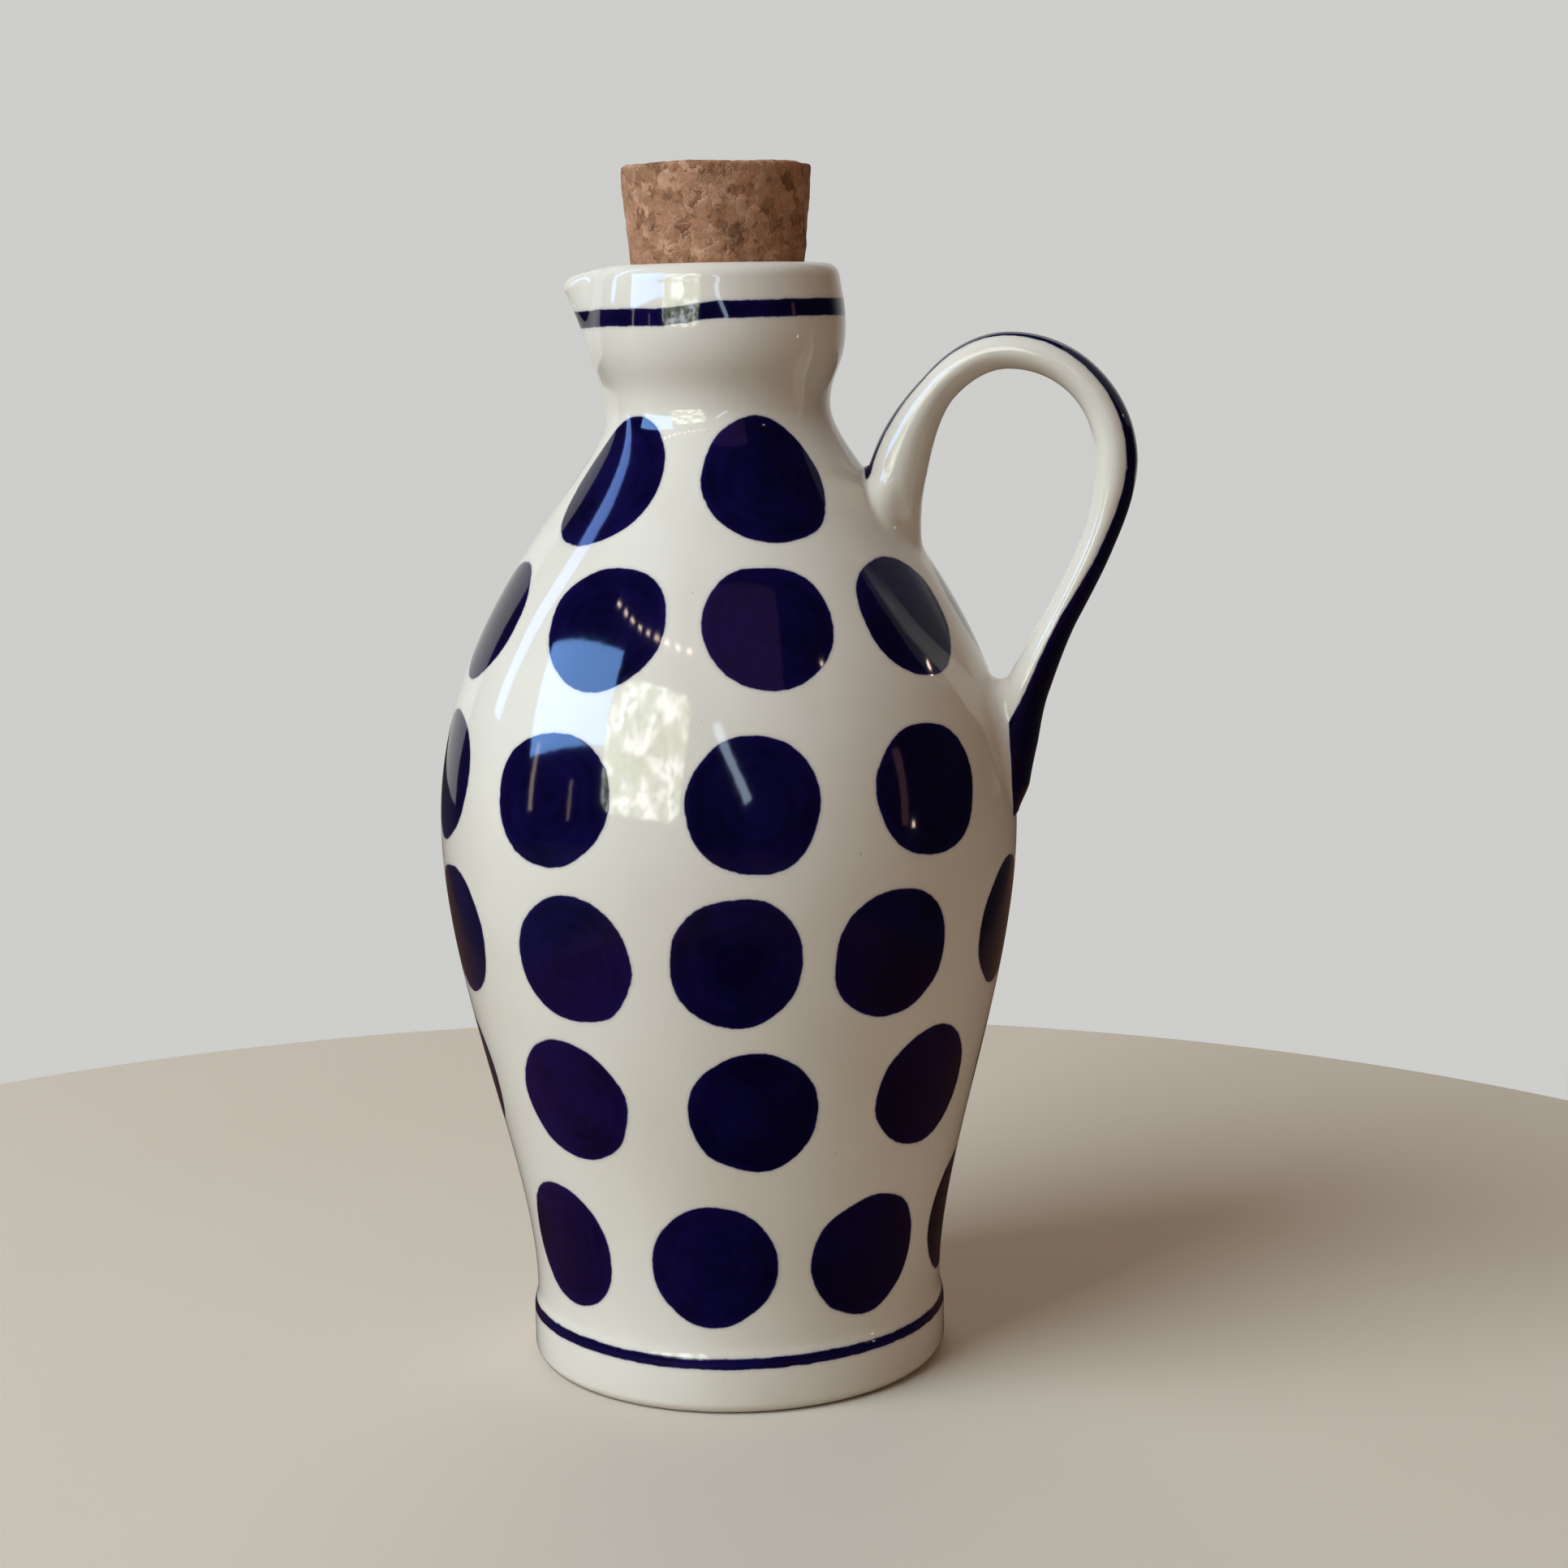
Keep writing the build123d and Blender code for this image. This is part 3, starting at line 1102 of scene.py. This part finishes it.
@dataclass
class LoopHandle:
    """Pulled handle: oval rings along a loop, luted to the bottle's side at both ends."""

    form: BottleForm
    root_height: float = 0.136
    root_sink: float = 0.0065
    crown: Vector = field(default_factory=lambda: place(0.0482, 0.1711))
    elbow: Vector = field(default_factory=lambda: place(0.0658, 0.1532))
    joint_height: float = 0.1165
    joint_gap: float = 0.0066
    tongue_length: float = 0.0210
    tongue_sink: float = 0.0018
    root_pull: tuple[float, float] = (-0.0017, 0.020)
    crown_pulls: tuple[float, float] = (0.0107, 0.010)
    elbow_pulls: tuple[float, float] = (0.0099, 0.0125)
    joint_pulls: tuple[float, float] = (0.014, 0.008)
    tip_pull: tuple[float, float] = (0.0009, 0.0065)
    curve_points: tuple[int, ...] = (61, 29, 33, 61)
    root_lute: tuple[float, float] = (0.0013, 0.0080)
    tongue_lute: tuple[float, float] = (0.0024, 0.0030)
    lute_turn: tuple[float, float] = (-0.5, 0.4)
    lute_cosines: tuple[float, float] = (-0.95, 0.85)
    lute_skin: float = 0.000008
    lute_rest: float = 0.0030
    tuck: float = 0.0052
    tuck_bend: float = 0.0022
    notch_paint: float = 0.0014
    leaf_paint: float = 0.0004
    leaf_rise: float = 0.005
    buried_run: float = 0.009
    buried_lean: float = -0.6
    shade_reach: float = 0.0008
    ring_points: int = 96
    stations: tuple[Station, ...] = (
        Station(0, 0.0, 10.6, 12.6, 48),
        Station(0, 0.3, 9.5, 11.2, 39),
        Station(0, 0.62, 6.0, 9.2, 38),
        Station(1, 0.0, 6.0, 9.2, 38),
        Station(1, 0.5, 6.1, 9.2, 48),
        Station(2, 0.0, 7.0, 9.4, 54),
        Station(2, 0.35, 5.5, 9.4, 66),
        Station(2, 0.7, 5.4, 9.4, 86),
        Station(3, 0.0, 7.1, 11.4, 84),
        Station(3, 0.4, 8.2, 11.6, 108),
        Station(3, 0.75, 7.7, 10.2, 140),
        Station(3, 1.0, 5.2, 6.8, 180),
    )
    name: str = "handle_pulled"

    def curves(self) -> list[list[Vector]]:
        """Draws the centre line.

        Returns:
            Its four stretches: rise, crown to elbow, limb and tongue.
        """
        root = place(self.form.radius(self.root_height) - self.root_sink, self.root_height)
        joint = place(self.form.radius(self.joint_height) + self.joint_gap, self.joint_height)
        tongue_height = self.joint_height - self.tongue_length
        tip = place(self.form.radius(tongue_height) - self.tongue_sink, tongue_height)
        lean = (self.elbow - joint).normalized()
        rise_end = self.crown - place(self.crown_pulls[0], 0)
        crown_start = self.crown + place(self.crown_pulls[1], 0)
        crown_end = self.elbow + UP * self.elbow_pulls[0]
        limb_start = self.elbow - UP * self.elbow_pulls[1]
        bends = (
            (root, root + place(*self.root_pull), rise_end, self.crown),
            (self.crown, crown_start, crown_end, self.elbow),
            (self.elbow, limb_start, joint + lean * self.joint_pulls[0], joint),
            (joint, joint - lean * self.joint_pulls[1], tip + place(*self.tip_pull), tip),
        )
        return [interpolate_bezier(*bend, points) for bend, points in zip(bends, self.curve_points)]

    def between(self, centre: Vector, along: Vector, low: Station, high: Station, share: float = 0.0) -> Ring:
        """Sizes the oval at a place between two stations.

        Args:
            centre: The place.
            along: Direction of the line there.
            low: The station before.
            high: The station after.
            share: How far the place is towards the second station.

        Returns:
            The oval.
        """
        pairs = ((low.thickness, high.thickness), (low.width, high.width), (low.stripe, high.stripe))
        thickness, width, stripe = (start + (end - start) * share for start, end in pairs)
        return Ring(centre, along, thickness * MM, width * MM, math.radians(stripe))

    def rings(self) -> list[Ring]:
        """Lays the ovals along the loop, and buried ones before its root and past its tip.

        Returns:
            The ovals, from inside the shoulder to inside the belly.
        """
        curves = self.curves()
        line = joined(*curves)
        starts = [0]
        for curve in curves:
            starts.append(starts[-1] + len(curve) - 1)
        knots = [starts[s.curve] + s.share * (starts[s.curve + 1] - starts[s.curve]) for s in self.stations]
        first, last = self.stations[0], self.stations[-1]
        buried = round(self.buried_run / MM)
        down = (line[0] - line[1]).normalized()
        rings = [self.between(line[0] + down * step * MM, -down, first, first) for step in range(buried, 0, -1)]
        for index, centre in enumerate(line):
            along = (line[min(index + 1, len(line) - 1)] - line[max(index - 1, 0)]).normalized()
            after = min(max(bisect_right(knots, index), 1), len(knots) - 1)
            share = (index - knots[after - 1]) / (knots[after] - knots[after - 1])
            share = smooth_share(share, 0, 1) * 0.5 + min(1.0, share) * 0.5
            rings.append(self.between(centre, along, self.stations[after - 1], self.stations[after], share))
        end, along = rings[-1].centre, rings[-1].along
        inwards = (along + place(self.buried_lean, 0)).normalized()
        rings += [self.between(end + inwards * step * MM, along, last, last) for step in range(1, buried)]
        return rings

    def luted(self, point: Vector, facing: Vector) -> tuple[Vector, float]:
        """Where a point of the bare loop goes once wet clay fills the corner to the bottle.

        Args:
            point: A point on an oval ring.
            facing: Direction straight out of the loop there.

        Returns:
            The point on the fillet, or the same point where the bottle is far, and how far it is past
            the fillet's start in metres, or HIDDEN.
        """
        normal = self.form.normal(point)
        away = facing.dot(normal)
        upper = point.z > (self.joint_height + self.root_height) / 2
        tight, wide = self.root_lute if upper else self.tongue_lute
        radius = tight + (wide - tight) * smooth_share(away, *self.lute_turn)
        least, most = self.lute_cosines
        opening = math.acos(max(least, min(most, -away)))
        fillet = radius * (1 + math.cos(opening))
        travel = (fillet - self.form.clearance(point) - self.lute_skin) / math.sin(opening)
        if travel <= 0:
            return point, travel
        along = (facing * away - normal).normalized()
        turn = min(travel / radius, math.pi - opening)
        over = min(travel - turn * radius, self.tuck)
        settled = point + along * (radius * math.sin(turn) - travel) + facing * radius * (1 - math.cos(turn))
        sunk = max(0.0, over - self.lute_rest)
        height = radius * (1 + math.cos(opening + turn)) - self.lute_skin - sunk * sunk / self.tuck_bend
        for _ in range(3):
            settled = settled + self.form.normal(settled) * (height - self.form.clearance(settled))
        return settled, HIDDEN if over == self.tuck else travel

    def build(self, finish: bpy.types.Material) -> bpy.types.Object:
        """Models the handle.

        Args:
            finish: Its glaze.

        Returns:
            The finished piece, riding on the bottle.
        """
        turns = [corner * math.tau / self.ring_points for corner in range(self.ring_points)]
        rings = [[self.ring_point(ring, turn) for turn in turns] for ring in self.rings()]
        seen = [index for index, ring in enumerate(rings) if any(corner[2] < HIDDEN for corner in ring)]
        rings = rings[max(seen[0] - 1, 0) : seen[-1] + 2]
        disc = {"vertices": self.ring_points, "radius": MM, "fill_type": "NGON"}
        piece = start_piece(self.name, bpy.ops.mesh.primitive_circle_add, **disc)
        mesh = bmesh.from_edit_mesh(piece.data)
        layer = mesh.verts.layers.float.new(Layer.COBALT.value)
        for index, ring in enumerate(rings):
            if index:
                bpy.ops.mesh.extrude_region_move(TRANSFORM_OT_translate={"value": (0, 0, MM)})
                mesh = bmesh.from_edit_mesh(piece.data)
                layer = mesh.verts.layers.float[Layer.COBALT.value]
            face = next(f for f in mesh.faces if f.select)
            for vertex, (spot, paint, _) in zip(face.verts, ring):
                vertex.co, vertex[layer] = spot, paint
            bmesh.update_edit_mesh(piece.data)
        close_piece()
        self.settle_shading(piece)
        write_layer(piece, Layer.BISCUIT, lambda point: FAR)
        piece.data.materials.append(finish)
        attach(piece, Carrier.BOTTLE.value)
        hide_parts("handle")
        return piece

    def settle_shading(self, piece: bpy.types.Object) -> None:
        """Shades the foot of the fillets as the bottle's own side, so that no line shows where they meet.

        Args:
            piece: The closed handle.
        """
        normals = []
        for vertex in piece.data.vertices:
            share = smooth_share(self.form.clearance(vertex.co), 0, self.shade_reach)
            normals.append(self.form.normal(vertex.co).lerp(vertex.normal, share).normalized())
        piece.data.normals_split_custom_set_from_vertices(normals)

    def ring_point(self, ring: Ring, turn: float) -> tuple[Vector, float, float]:
        """Places a point of a ring and measures how far it is from the stripe.

        Args:
            ring: The bare oval.
            turn: Angle round the ring, from the handle's back.

        Returns:
            The point, its distance from the stripe in millimetres, negative on it, and how far it is
            into the fillet.
        """
        back, side = Vector((-ring.along.z, 0, ring.along.x)), Vector((0, 1, 0))
        across, out = math.sin(turn), math.cos(turn)
        point = ring.centre + back * out * ring.thickness / 2 + side * across * ring.width / 2
        facing = (back * out / ring.thickness + side * across / ring.width).normalized()
        away = abs((turn + math.pi) % math.tau - math.pi)
        arc = (away - ring.stripe) * (ring.thickness + ring.width) / 4
        spot, travel = self.luted(point, facing)
        reach = self.notch_paint if ring.centre.z > self.joint_height + self.leaf_rise else self.leaf_paint
        return spot, max(arc, travel - reach) / MM, travel


# ---------------------------------------------------------------- stage


SKY: Colour = (0.22, 0.46, 1.0)
LAMP: Colour = (1.0, 0.76, 0.62)


@dataclass(frozen=True)
class Softbox:
    """Rectangular light that faces the bottle, placed by its direction from it.

    Its azimuth is in degrees from the camera's side, to the right and on behind, and its elevation and
    roll are in degrees too. A box that lights but doesn't shine is left out of the glaze, and a pane
    that shines but doesn't light is seen in the glaze alone.
    """

    name: str
    azimuth: float
    elevation: float
    width: float
    height: float
    radiance: float
    colour: Colour
    roll: float = 0.0
    distance: float = 1.4
    lights: bool = False
    shines: bool = True

    def build(self, target: Vector, camera_side: float) -> None:
        """Adds the light.

        Args:
            target: The point that it faces.
            camera_side: Azimuth of the camera from that point, in degrees from +X.
        """
        away = direction(camera_side + self.azimuth, self.elevation)
        lamp = bpy.data.lights.new(self.name, "AREA")
        lamp.shape, lamp.size, lamp.size_y = "RECTANGLE", self.width, self.height
        lamp.energy = self.radiance * math.pi * self.width * self.height
        lamp.color = self.colour
        light = bpy.data.objects.new(self.name, lamp)
        light.location = target + away * self.distance
        facing = (-away).to_track_quat("-Z", "Y") @ Quaternion((0, 0, 1), math.radians(self.roll))
        light.rotation_euler = facing.to_euler()
        light.visible_diffuse, light.visible_glossy = self.lights, self.shines
        bpy.context.scene.collection.objects.link(light)


@dataclass
class Studio:
    """Pale floor, soft lights, pale surroundings and the camera."""

    target: Vector
    camera_turn: float = math.radians(14)
    camera_distance: float = 0.4635
    camera_height: float = 0.1744
    camera_tilt: float = 0.162
    camera_swing: float = 0.0203
    camera_roll: float = -0.0181
    lens: float = 63.27
    sensor: float = 36.0
    backdrop: Colour = (0.615, 0.615, 0.60)
    room: Colour = (1.0, 0.74, 0.57)
    room_strength: float = 0.20
    table_radius: float = 0.28
    table_thickness: float = 0.025
    table_edge: float = 0.004
    table_centre: tuple[float, float] = (-0.02, -0.046)
    table_shades: tuple[Colour, Colour] = ((0.57, 0.50, 0.41), (0.60, 0.53, 0.44))
    # Dark dome seen in the glaze alone: a painted reflection of a room's unlit side, open where the pale
    # backdrop shows.
    reflection_dome_radius: float = 1.5
    gap_left: float = -135.0
    gap_right: float = 150.0
    gap_top: float = 38.0
    gap_step: float = -150.0
    gap_bottoms: tuple[float, float] = (-25.0, -10.0)
    dark_reflection_shades: tuple[Colour, Colour] = ((0.030, 0.024, 0.020), (0.036, 0.028, 0.023))
    # Glowing disc under the table, no lamp: a painted reflection of a table top in the glaze.
    glow_radius: float = 1.4
    glow_drop: float = 0.04
    glow_shades: tuple[Colour, Colour] = ((0.02, 0.015, 0.01), (0.03, 0.02, 0.015))
    cool_glow: Colour = (0.12, 0.045, 0.13)
    warm_glow: Colour = (0.060, 0.024, 0.010)
    no_glow: Colour = (0.004, 0.003, 0.003)
    # Bright leafy view seen in the glaze alone: a glowing plane that paints a window view's reflection.
    view_azimuth: float = -35.0
    view_elevation: float = 19.5
    view_distance: float = 1.4
    view_size: float = 0.84
    view_strength: float = 13.0
    view_shades: tuple[Colour, Colour] = ((0.02, 0.02, 0.02), (0.03, 0.03, 0.02))
    view_light: Colour = (1.0, 1.0, 0.97)
    view_leaf: Colour = (0.22, 0.28, 0.11)
    view_shade: Colour = (0.05, 0.07, 0.05)
    boxes: tuple[Softbox, ...] = (
        Softbox("key", -57, 38, 1.1, 1.1, 8.5, (0.745, 0.875, 0.97), 0, 1.5, lights=True, shines=False),
        Softbox("fill", 85, 10, 1.4, 1.0, 0.36, (1.0, 0.66, 0.42), 0, 2.0, lights=True, shines=False),
        Softbox("back_fill", 180, 32, 1.4, 1.2, 1.7, (1.0, 0.95, 0.88), 0, 1.8, lights=True, shines=False),
        Softbox("pane_sky", -73, 26, 0.86, 0.54, 13.0, SKY, roll=17),
        Softbox("strip", -113, 32, 0.16, 1.50, 7.0, (0.22, 0.40, 1.0)),
        Softbox("slit", 1, 18, 0.075, 0.58, 8.0, (0.62, 0.78, 1.0), roll=28),
        Softbox("slit_red", 71, 5, 0.08, 0.44, 0.7, (1.0, 0.42, 0.40)),
        Softbox("door", 7, 46, 0.78, 0.70, 0.2, (1.0, 0.45, 1.0)),
        *(Softbox(f"lamp_{step}", 6 * step - 69, 46, 0.045, 0.02, 24.0, LAMP) for step in range(9)),
        Softbox("slit_side", -83, 7, 0.045, 0.34, 4.0, LAMP),
        Softbox("spark_high", 49, 38, 0.03, 0.03, 22.0, LAMP),
        Softbox("spark_side", 106, 21, 0.03, 0.03, 22.0, LAMP),
        Softbox("spark_low", 75, -4, 0.03, 0.03, 22.0, LAMP),
        Softbox("slit_low", -65, 5, 0.03, 0.24, 2.5, LAMP),
        Softbox("far_wall", 122, 34, 1.7, 1.1, 0.20, (0.9, 0.92, 1.0)),
    )

    @property
    def camera_side(self) -> float:
        """Azimuth of the camera from the bottle, in degrees from +X."""
        return math.degrees(self.camera_turn) - 90

    def build(self) -> None:
        """Sets the stage."""
        self.lay_floor()
        self.hang_painted_dark_reflection()
        self.lay_painted_table_reflection()
        self.hang_painted_view_reflection()
        for box in self.boxes:
            box.build(self.target, self.camera_side)
        self.surround()
        self.aim_camera()

    def lay_floor(self) -> None:
        """Adds a plain pale round table top under the foot."""
        sizes = {"vertices": 256, "radius": self.table_radius, "depth": self.table_thickness}
        floor = add_primitive("floor", bpy.ops.mesh.primitive_cylinder_add, **sizes)
        centre = Vector((*self.table_centre, -self.table_thickness / 2))
        floor.location = Matrix.Rotation(self.camera_turn, 4, "Z") @ centre
        bevel = floor.modifiers.new("Edge", "BEVEL")
        bevel.width, bevel.segments = self.table_edge, 4
        graph = Graph.of_material("pale_floor")
        colour = graph.mix(graph.noise(9, 2), *self.table_shades)
        relief = graph.noise(400, 2) * 0.00002
        top = graph.finish(colour, graph.noise(30, 2) * 0.1 + 0.8, relief, DULL_IOR)
        floor.data.materials.append(top)
        floor.visible_glossy = False
        floor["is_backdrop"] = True

    def keep_to_glaze(self, card: bpy.types.Object, finish: bpy.types.Material) -> None:
        """Dresses a card that is seen in the glaze alone and neither lights nor shades anything.

        Args:
            card: The card.
            finish: Its material.
        """
        card.data.materials.append(finish)
        card.visible_camera = card.visible_diffuse = card.visible_shadow = False
        card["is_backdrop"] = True

    def hang_painted_dark_reflection(self) -> None:
        """Hangs dark cards seen in the glaze alone, a painted reflection of a room's unlit side, with a soft
        pale edge that glows as a painted reflection of the pale wall.
        """
        graph = Graph.of_material("painted_dark_reflection")
        # Painted shade: dark tones that stand in for a room's unlit side in the glaze.
        colour = graph.mix(graph.noise(2, 1), *self.dark_reflection_shades)
        # Painted reflection: a soft pale edge that glows in the backdrop's colour, as a lit wall would show in
        # the glaze.
        right, back, height = graph.axes()
        edge = right.smooth(0.0, 0.3) * back.smooth(0.78, 1.42)
        edge = edge * height.smooth(-0.45, -0.2) * (1 - height.smooth(0.6, 1.0))
        glow = graph.mix(edge, (0.0, 0.0, 0.0), self.backdrop)
        dark = graph.shine(colour, graph.noise(3, 1) * 0.1 + 0.85, graph.noise(9, 1) * 0.00001, glow)
        sizes = {"segments": 72, "ring_count": 36, "radius": self.reflection_dome_radius, "location": self.target}
        dome = add_primitive("painted_reflection_dome", bpy.ops.mesh.primitive_uv_sphere_add, **sizes)
        dome.rotation_euler.z = self.camera_turn
        bpy.ops.object.mode_set(mode="EDIT")
        mesh = bmesh.from_edit_mesh(dome.data)
        for face in mesh.faces:
            face.select = self.is_open(face.calc_center_median())
        bmesh.update_edit_mesh(dome.data)
        bpy.ops.mesh.delete(type="FACE")
        bpy.ops.object.mode_set(mode="OBJECT")
        self.keep_to_glaze(dome, dark)

    def lay_painted_table_reflection(self) -> None:
        """Lays a glowing disc under the table, seen in the glaze alone as a painted reflection of a table top,
        cool on the left and warm on the right and behind.
        """
        graph = Graph.of_material("warm_glow")
        right, back, _ = graph.axes()
        away = right.math("ABSOLUTE")
        sides = away.smooth(0.01, 0.18) * (1 - away.smooth(0.26, 0.32))
        grain = graph.noise(6, 2) * 0.3 + 0.7
        warmth = right.smooth(-0.05, 0.05).math("MAXIMUM", back.smooth(0.02, 0.12))
        # Painted reflection: cool glow on the left, warm on the right and behind, fading out in a middle strip
        # and beyond about 0.3 m to each side.
        glow = graph.mix(warmth, self.cool_glow, self.warm_glow)
        glow = graph.mix(sides * grain, self.no_glow, glow)
        finish = graph.shine(graph.mix(grain, *self.glow_shades), grain, grain * 0.00001, glow)
        sizes = {"vertices": 96, "radius": self.glow_radius, "location": (0, 0, -self.glow_drop)}
        disc = add_primitive("warm_glow", bpy.ops.mesh.primitive_circle_add, fill_type="NGON", **sizes)
        disc.rotation_euler.z = self.camera_turn
        self.keep_to_glaze(disc, finish)

    def hang_painted_view_reflection(self) -> None:
        """Hangs a bright leafy view beside the sky pane that only the glaze shows: a glowing plane, no lamp,
        that paints the reflection of a window's view.
        """
        graph = Graph.of_material("painted_leafy_reflection")
        leaves, gaps = graph.noise(5, 6).smooth(0.40, 0.56), graph.noise(15, 5).smooth(0.50, 0.60)
        # Painted reflection: bright light broken by green leaves and dark gaps.
        glow = graph.mix(leaves, self.view_light, self.view_leaf)
        glow = graph.mix(gaps * 0.8, glow, self.view_shade)
        colour = graph.mix(leaves, *self.view_shades)
        finish = graph.shine(colour, gaps * 0.1 + 0.8, gaps * 0.00001, glow, self.view_strength)
        away = direction(self.camera_side + self.view_azimuth, self.view_elevation)
        sizes = {"size": self.view_size, "location": self.target + away * self.view_distance}
        pane = add_primitive("painted_leafy_reflection", bpy.ops.mesh.primitive_plane_add, **sizes)
        pane.rotation_euler = (-away).to_track_quat("Z", "Y").to_euler()
        self.keep_to_glaze(pane, finish)

    def is_open(self, spot: Vector) -> bool:
        """Tells whether the dark dome is open at a place, for the pale wall behind.

        Args:
            spot: A place on the dome, from its centre.

        Returns:
            True where the pale surroundings show.
        """
        azimuth = (math.degrees(math.atan2(spot.y, spot.x)) + 270) % 360 - 180
        elevation = math.degrees(math.asin(spot.z / spot.length))
        bottom = self.gap_bottoms[0] if azimuth < self.gap_step else self.gap_bottoms[1]
        return (azimuth < self.gap_left or azimuth > self.gap_right) and bottom < elevation < self.gap_top

    def surround(self) -> None:
        """Pale backdrop for what the camera and reflections see, and dimmer room light for the rest."""
        graph = Graph(bpy.data.worlds.new("room"))
        bpy.context.scene.world = graph.owner
        path = graph.node("ShaderNodeLightPath")
        camera, glossy, through = (
            Value(graph, path.outputs[f"Is {kind} Ray"]) for kind in ("Camera", "Glossy", "Transmission")
        )
        seen = camera.math("MAXIMUM", glossy).math("MAXIMUM", through)
        room, backdrop = (
            graph.value("ShaderNodeBackground", [(*colour, 1), strength])
            for colour, strength in ((self.room, self.room_strength), (self.backdrop, 1.0))
        )
        shade = graph.value("ShaderNodeMixShader", [seen, room, backdrop])
        graph.node("ShaderNodeOutputWorld", [shade])

    def aim_camera(self) -> None:
        """Places the camera a little above the bottle's shoulder, looking slightly down."""
        lens = bpy.data.cameras.new("camera")
        lens.lens, lens.sensor_width = self.lens, self.sensor
        camera = bpy.data.objects.new("camera", lens)
        turn = Matrix.Rotation(self.camera_turn, 4, "Z")
        spot = turn @ Vector((0, -self.camera_distance, self.camera_height))
        swing = Matrix.Rotation(-self.camera_swing, 4, "Z")
        tilt = Matrix.Rotation(math.pi / 2 - self.camera_tilt, 4, "X")
        roll = Matrix.Rotation(self.camera_roll, 4, "Z")
        camera.matrix_world = Matrix.Translation(spot) @ turn @ swing @ tilt @ roll
        bpy.context.scene.collection.objects.link(camera)
        bpy.context.scene.camera = camera
        bpy.context.scene.view_settings.view_transform = "Standard"


def main() -> None:
    """Builds the pieces round the frame, dresses them and sets the stage."""
    logging.basicConfig(level=logging.INFO, format="%(message)s")
    cad_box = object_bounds()
    _, body_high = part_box("bottle_body")
    cork_low, cork_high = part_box("cork_stopper")
    form = BottleForm(belly_radius=body_high.y, rim_height=body_high.z)
    cork = CorkStopper(top_height=cork_high.z, bottom_height=cork_low.z)
    lip = PouringLip(form, reach=0.0266)
    glaze = CobaltGlaze("cobalt_glaze").make()
    pieces = [
        BottleBody(form, lip, cork, Decoration(form)).build(glaze),
        LoopHandle(form).build(glaze),
        cork.build(GroundCork().make()),
    ]
    for piece in pieces:
        LOG.info("%s: %d faces", piece.name, len(piece.data.polygons))
    Studio(target=(cad_box[0] + cad_box[1]) / 2).build()


if __name__ == "__main__":
    main()
